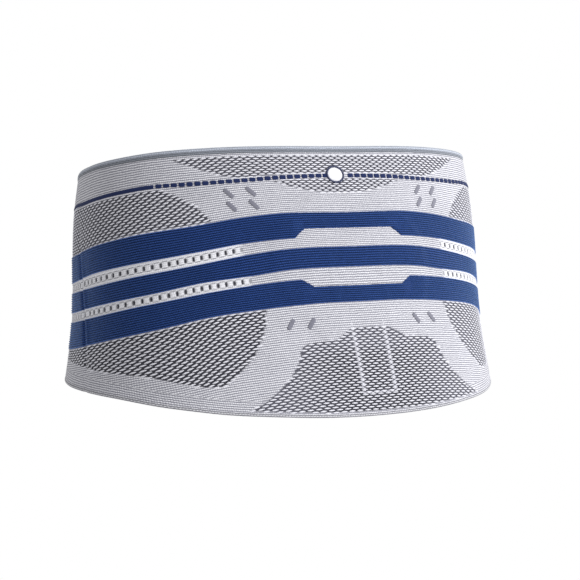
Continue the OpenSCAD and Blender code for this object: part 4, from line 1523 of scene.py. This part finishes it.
class PAD_OT_belt(bpy.types.Operator):
    """Mould the gel pad with its nubs and sew its pocket"""
    bl_idname = "belt.pad"
    bl_label = "Pad and pocket"
    bl_options = {"REGISTER", "UNDO"}

    def execute(self, context):
        make_pad()
        make_pad_cover()
        make_pocket_tape()
        return {"FINISHED"}


class STAYS_OT_belt(bpy.types.Operator):
    """Slip the stays into their tunnels"""
    bl_idname = "belt.stays"
    bl_label = "Stays and tunnels"
    bl_options = {"REGISTER", "UNDO"}

    def execute(self, context):
        make_stays()
        return {"FINISHED"}


class TAPES_OT_belt(bpy.types.Operator):
    """Sew the label, the side tapes and the front seams"""
    bl_idname = "belt.tapes"
    bl_label = "Label and tapes"
    bl_options = {"REGISTER", "UNDO"}

    def execute(self, context):
        make_tapes()
        return {"FINISHED"}


class PANELS_OT_belt(bpy.types.Operator):
    """Make the closure panels with their bindings, fields and finger pockets"""
    bl_idname = "belt.panels"
    bl_label = "Closure panels"
    bl_options = {"REGISTER", "UNDO"}

    def execute(self, context):
        for kind in ("inner", "outer"):
            make_panel(kind)
            make_binding(kind)
        make_fields()
        make_pocket("inner", *INNER_POCKET, "left_wing")
        make_pocket("outer", *OUTER_POCKET, "right_flap")
        return {"FINISHED"}


class STAGE_OT_belt(bpy.types.Operator):
    """Set the floor, the light and the camera"""
    bl_idname = "belt.stage"
    bl_label = "Stage"
    bl_options = {"REGISTER", "UNDO"}

    def execute(self, context):
        make_stage()
        return {"FINISHED"}


OPERATORS = (STAGE_OT_belt, KNIT_OT_belt, BANDS_OT_belt, EDGES_OT_belt, STITCHES_OT_belt, EMBLEM_OT_belt,
             PAD_OT_belt, STAYS_OT_belt, TAPES_OT_belt, PANELS_OT_belt)


class BELT_PT_panel(bpy.types.Panel):
    bl_label = "Lumbar support belt"
    bl_space_type = "VIEW_3D"
    bl_region_type = "UI"
    bl_category = "Belt"

    def draw(self, context):
        for settings in (shape(), knit(), colours()):
            box = self.layout.box()
            for name in settings.__annotations__:
                box.prop(settings, name)
        for operator in OPERATORS:
            self.layout.operator(operator.bl_idname)


CLASSES = (BeltShape, BeltKnit, BeltColours, *OPERATORS, BELT_PT_panel)
SETTINGS = {"belt_shape": BeltShape, "belt_knit": BeltKnit, "belt_colours": BeltColours}


def register():
    for cls in CLASSES:
        bpy.utils.register_class(cls)
    for name, group in SETTINGS.items():
        setattr(bpy.types.Scene, name, bpy.props.PointerProperty(type=group))


def unregister():
    for name in SETTINGS:
        delattr(bpy.types.Scene, name)
    for cls in reversed(CLASSES):
        bpy.utils.unregister_class(cls)


def main():
    register()
    for step in ("stage", "knit", "bands", "edges", "stitches", "emblem", "pad", "stays", "tapes", "panels"):
        getattr(bpy.ops.belt, step)()
    bpy.context.view_layer.update()


if __name__ == "__main__":
    main()
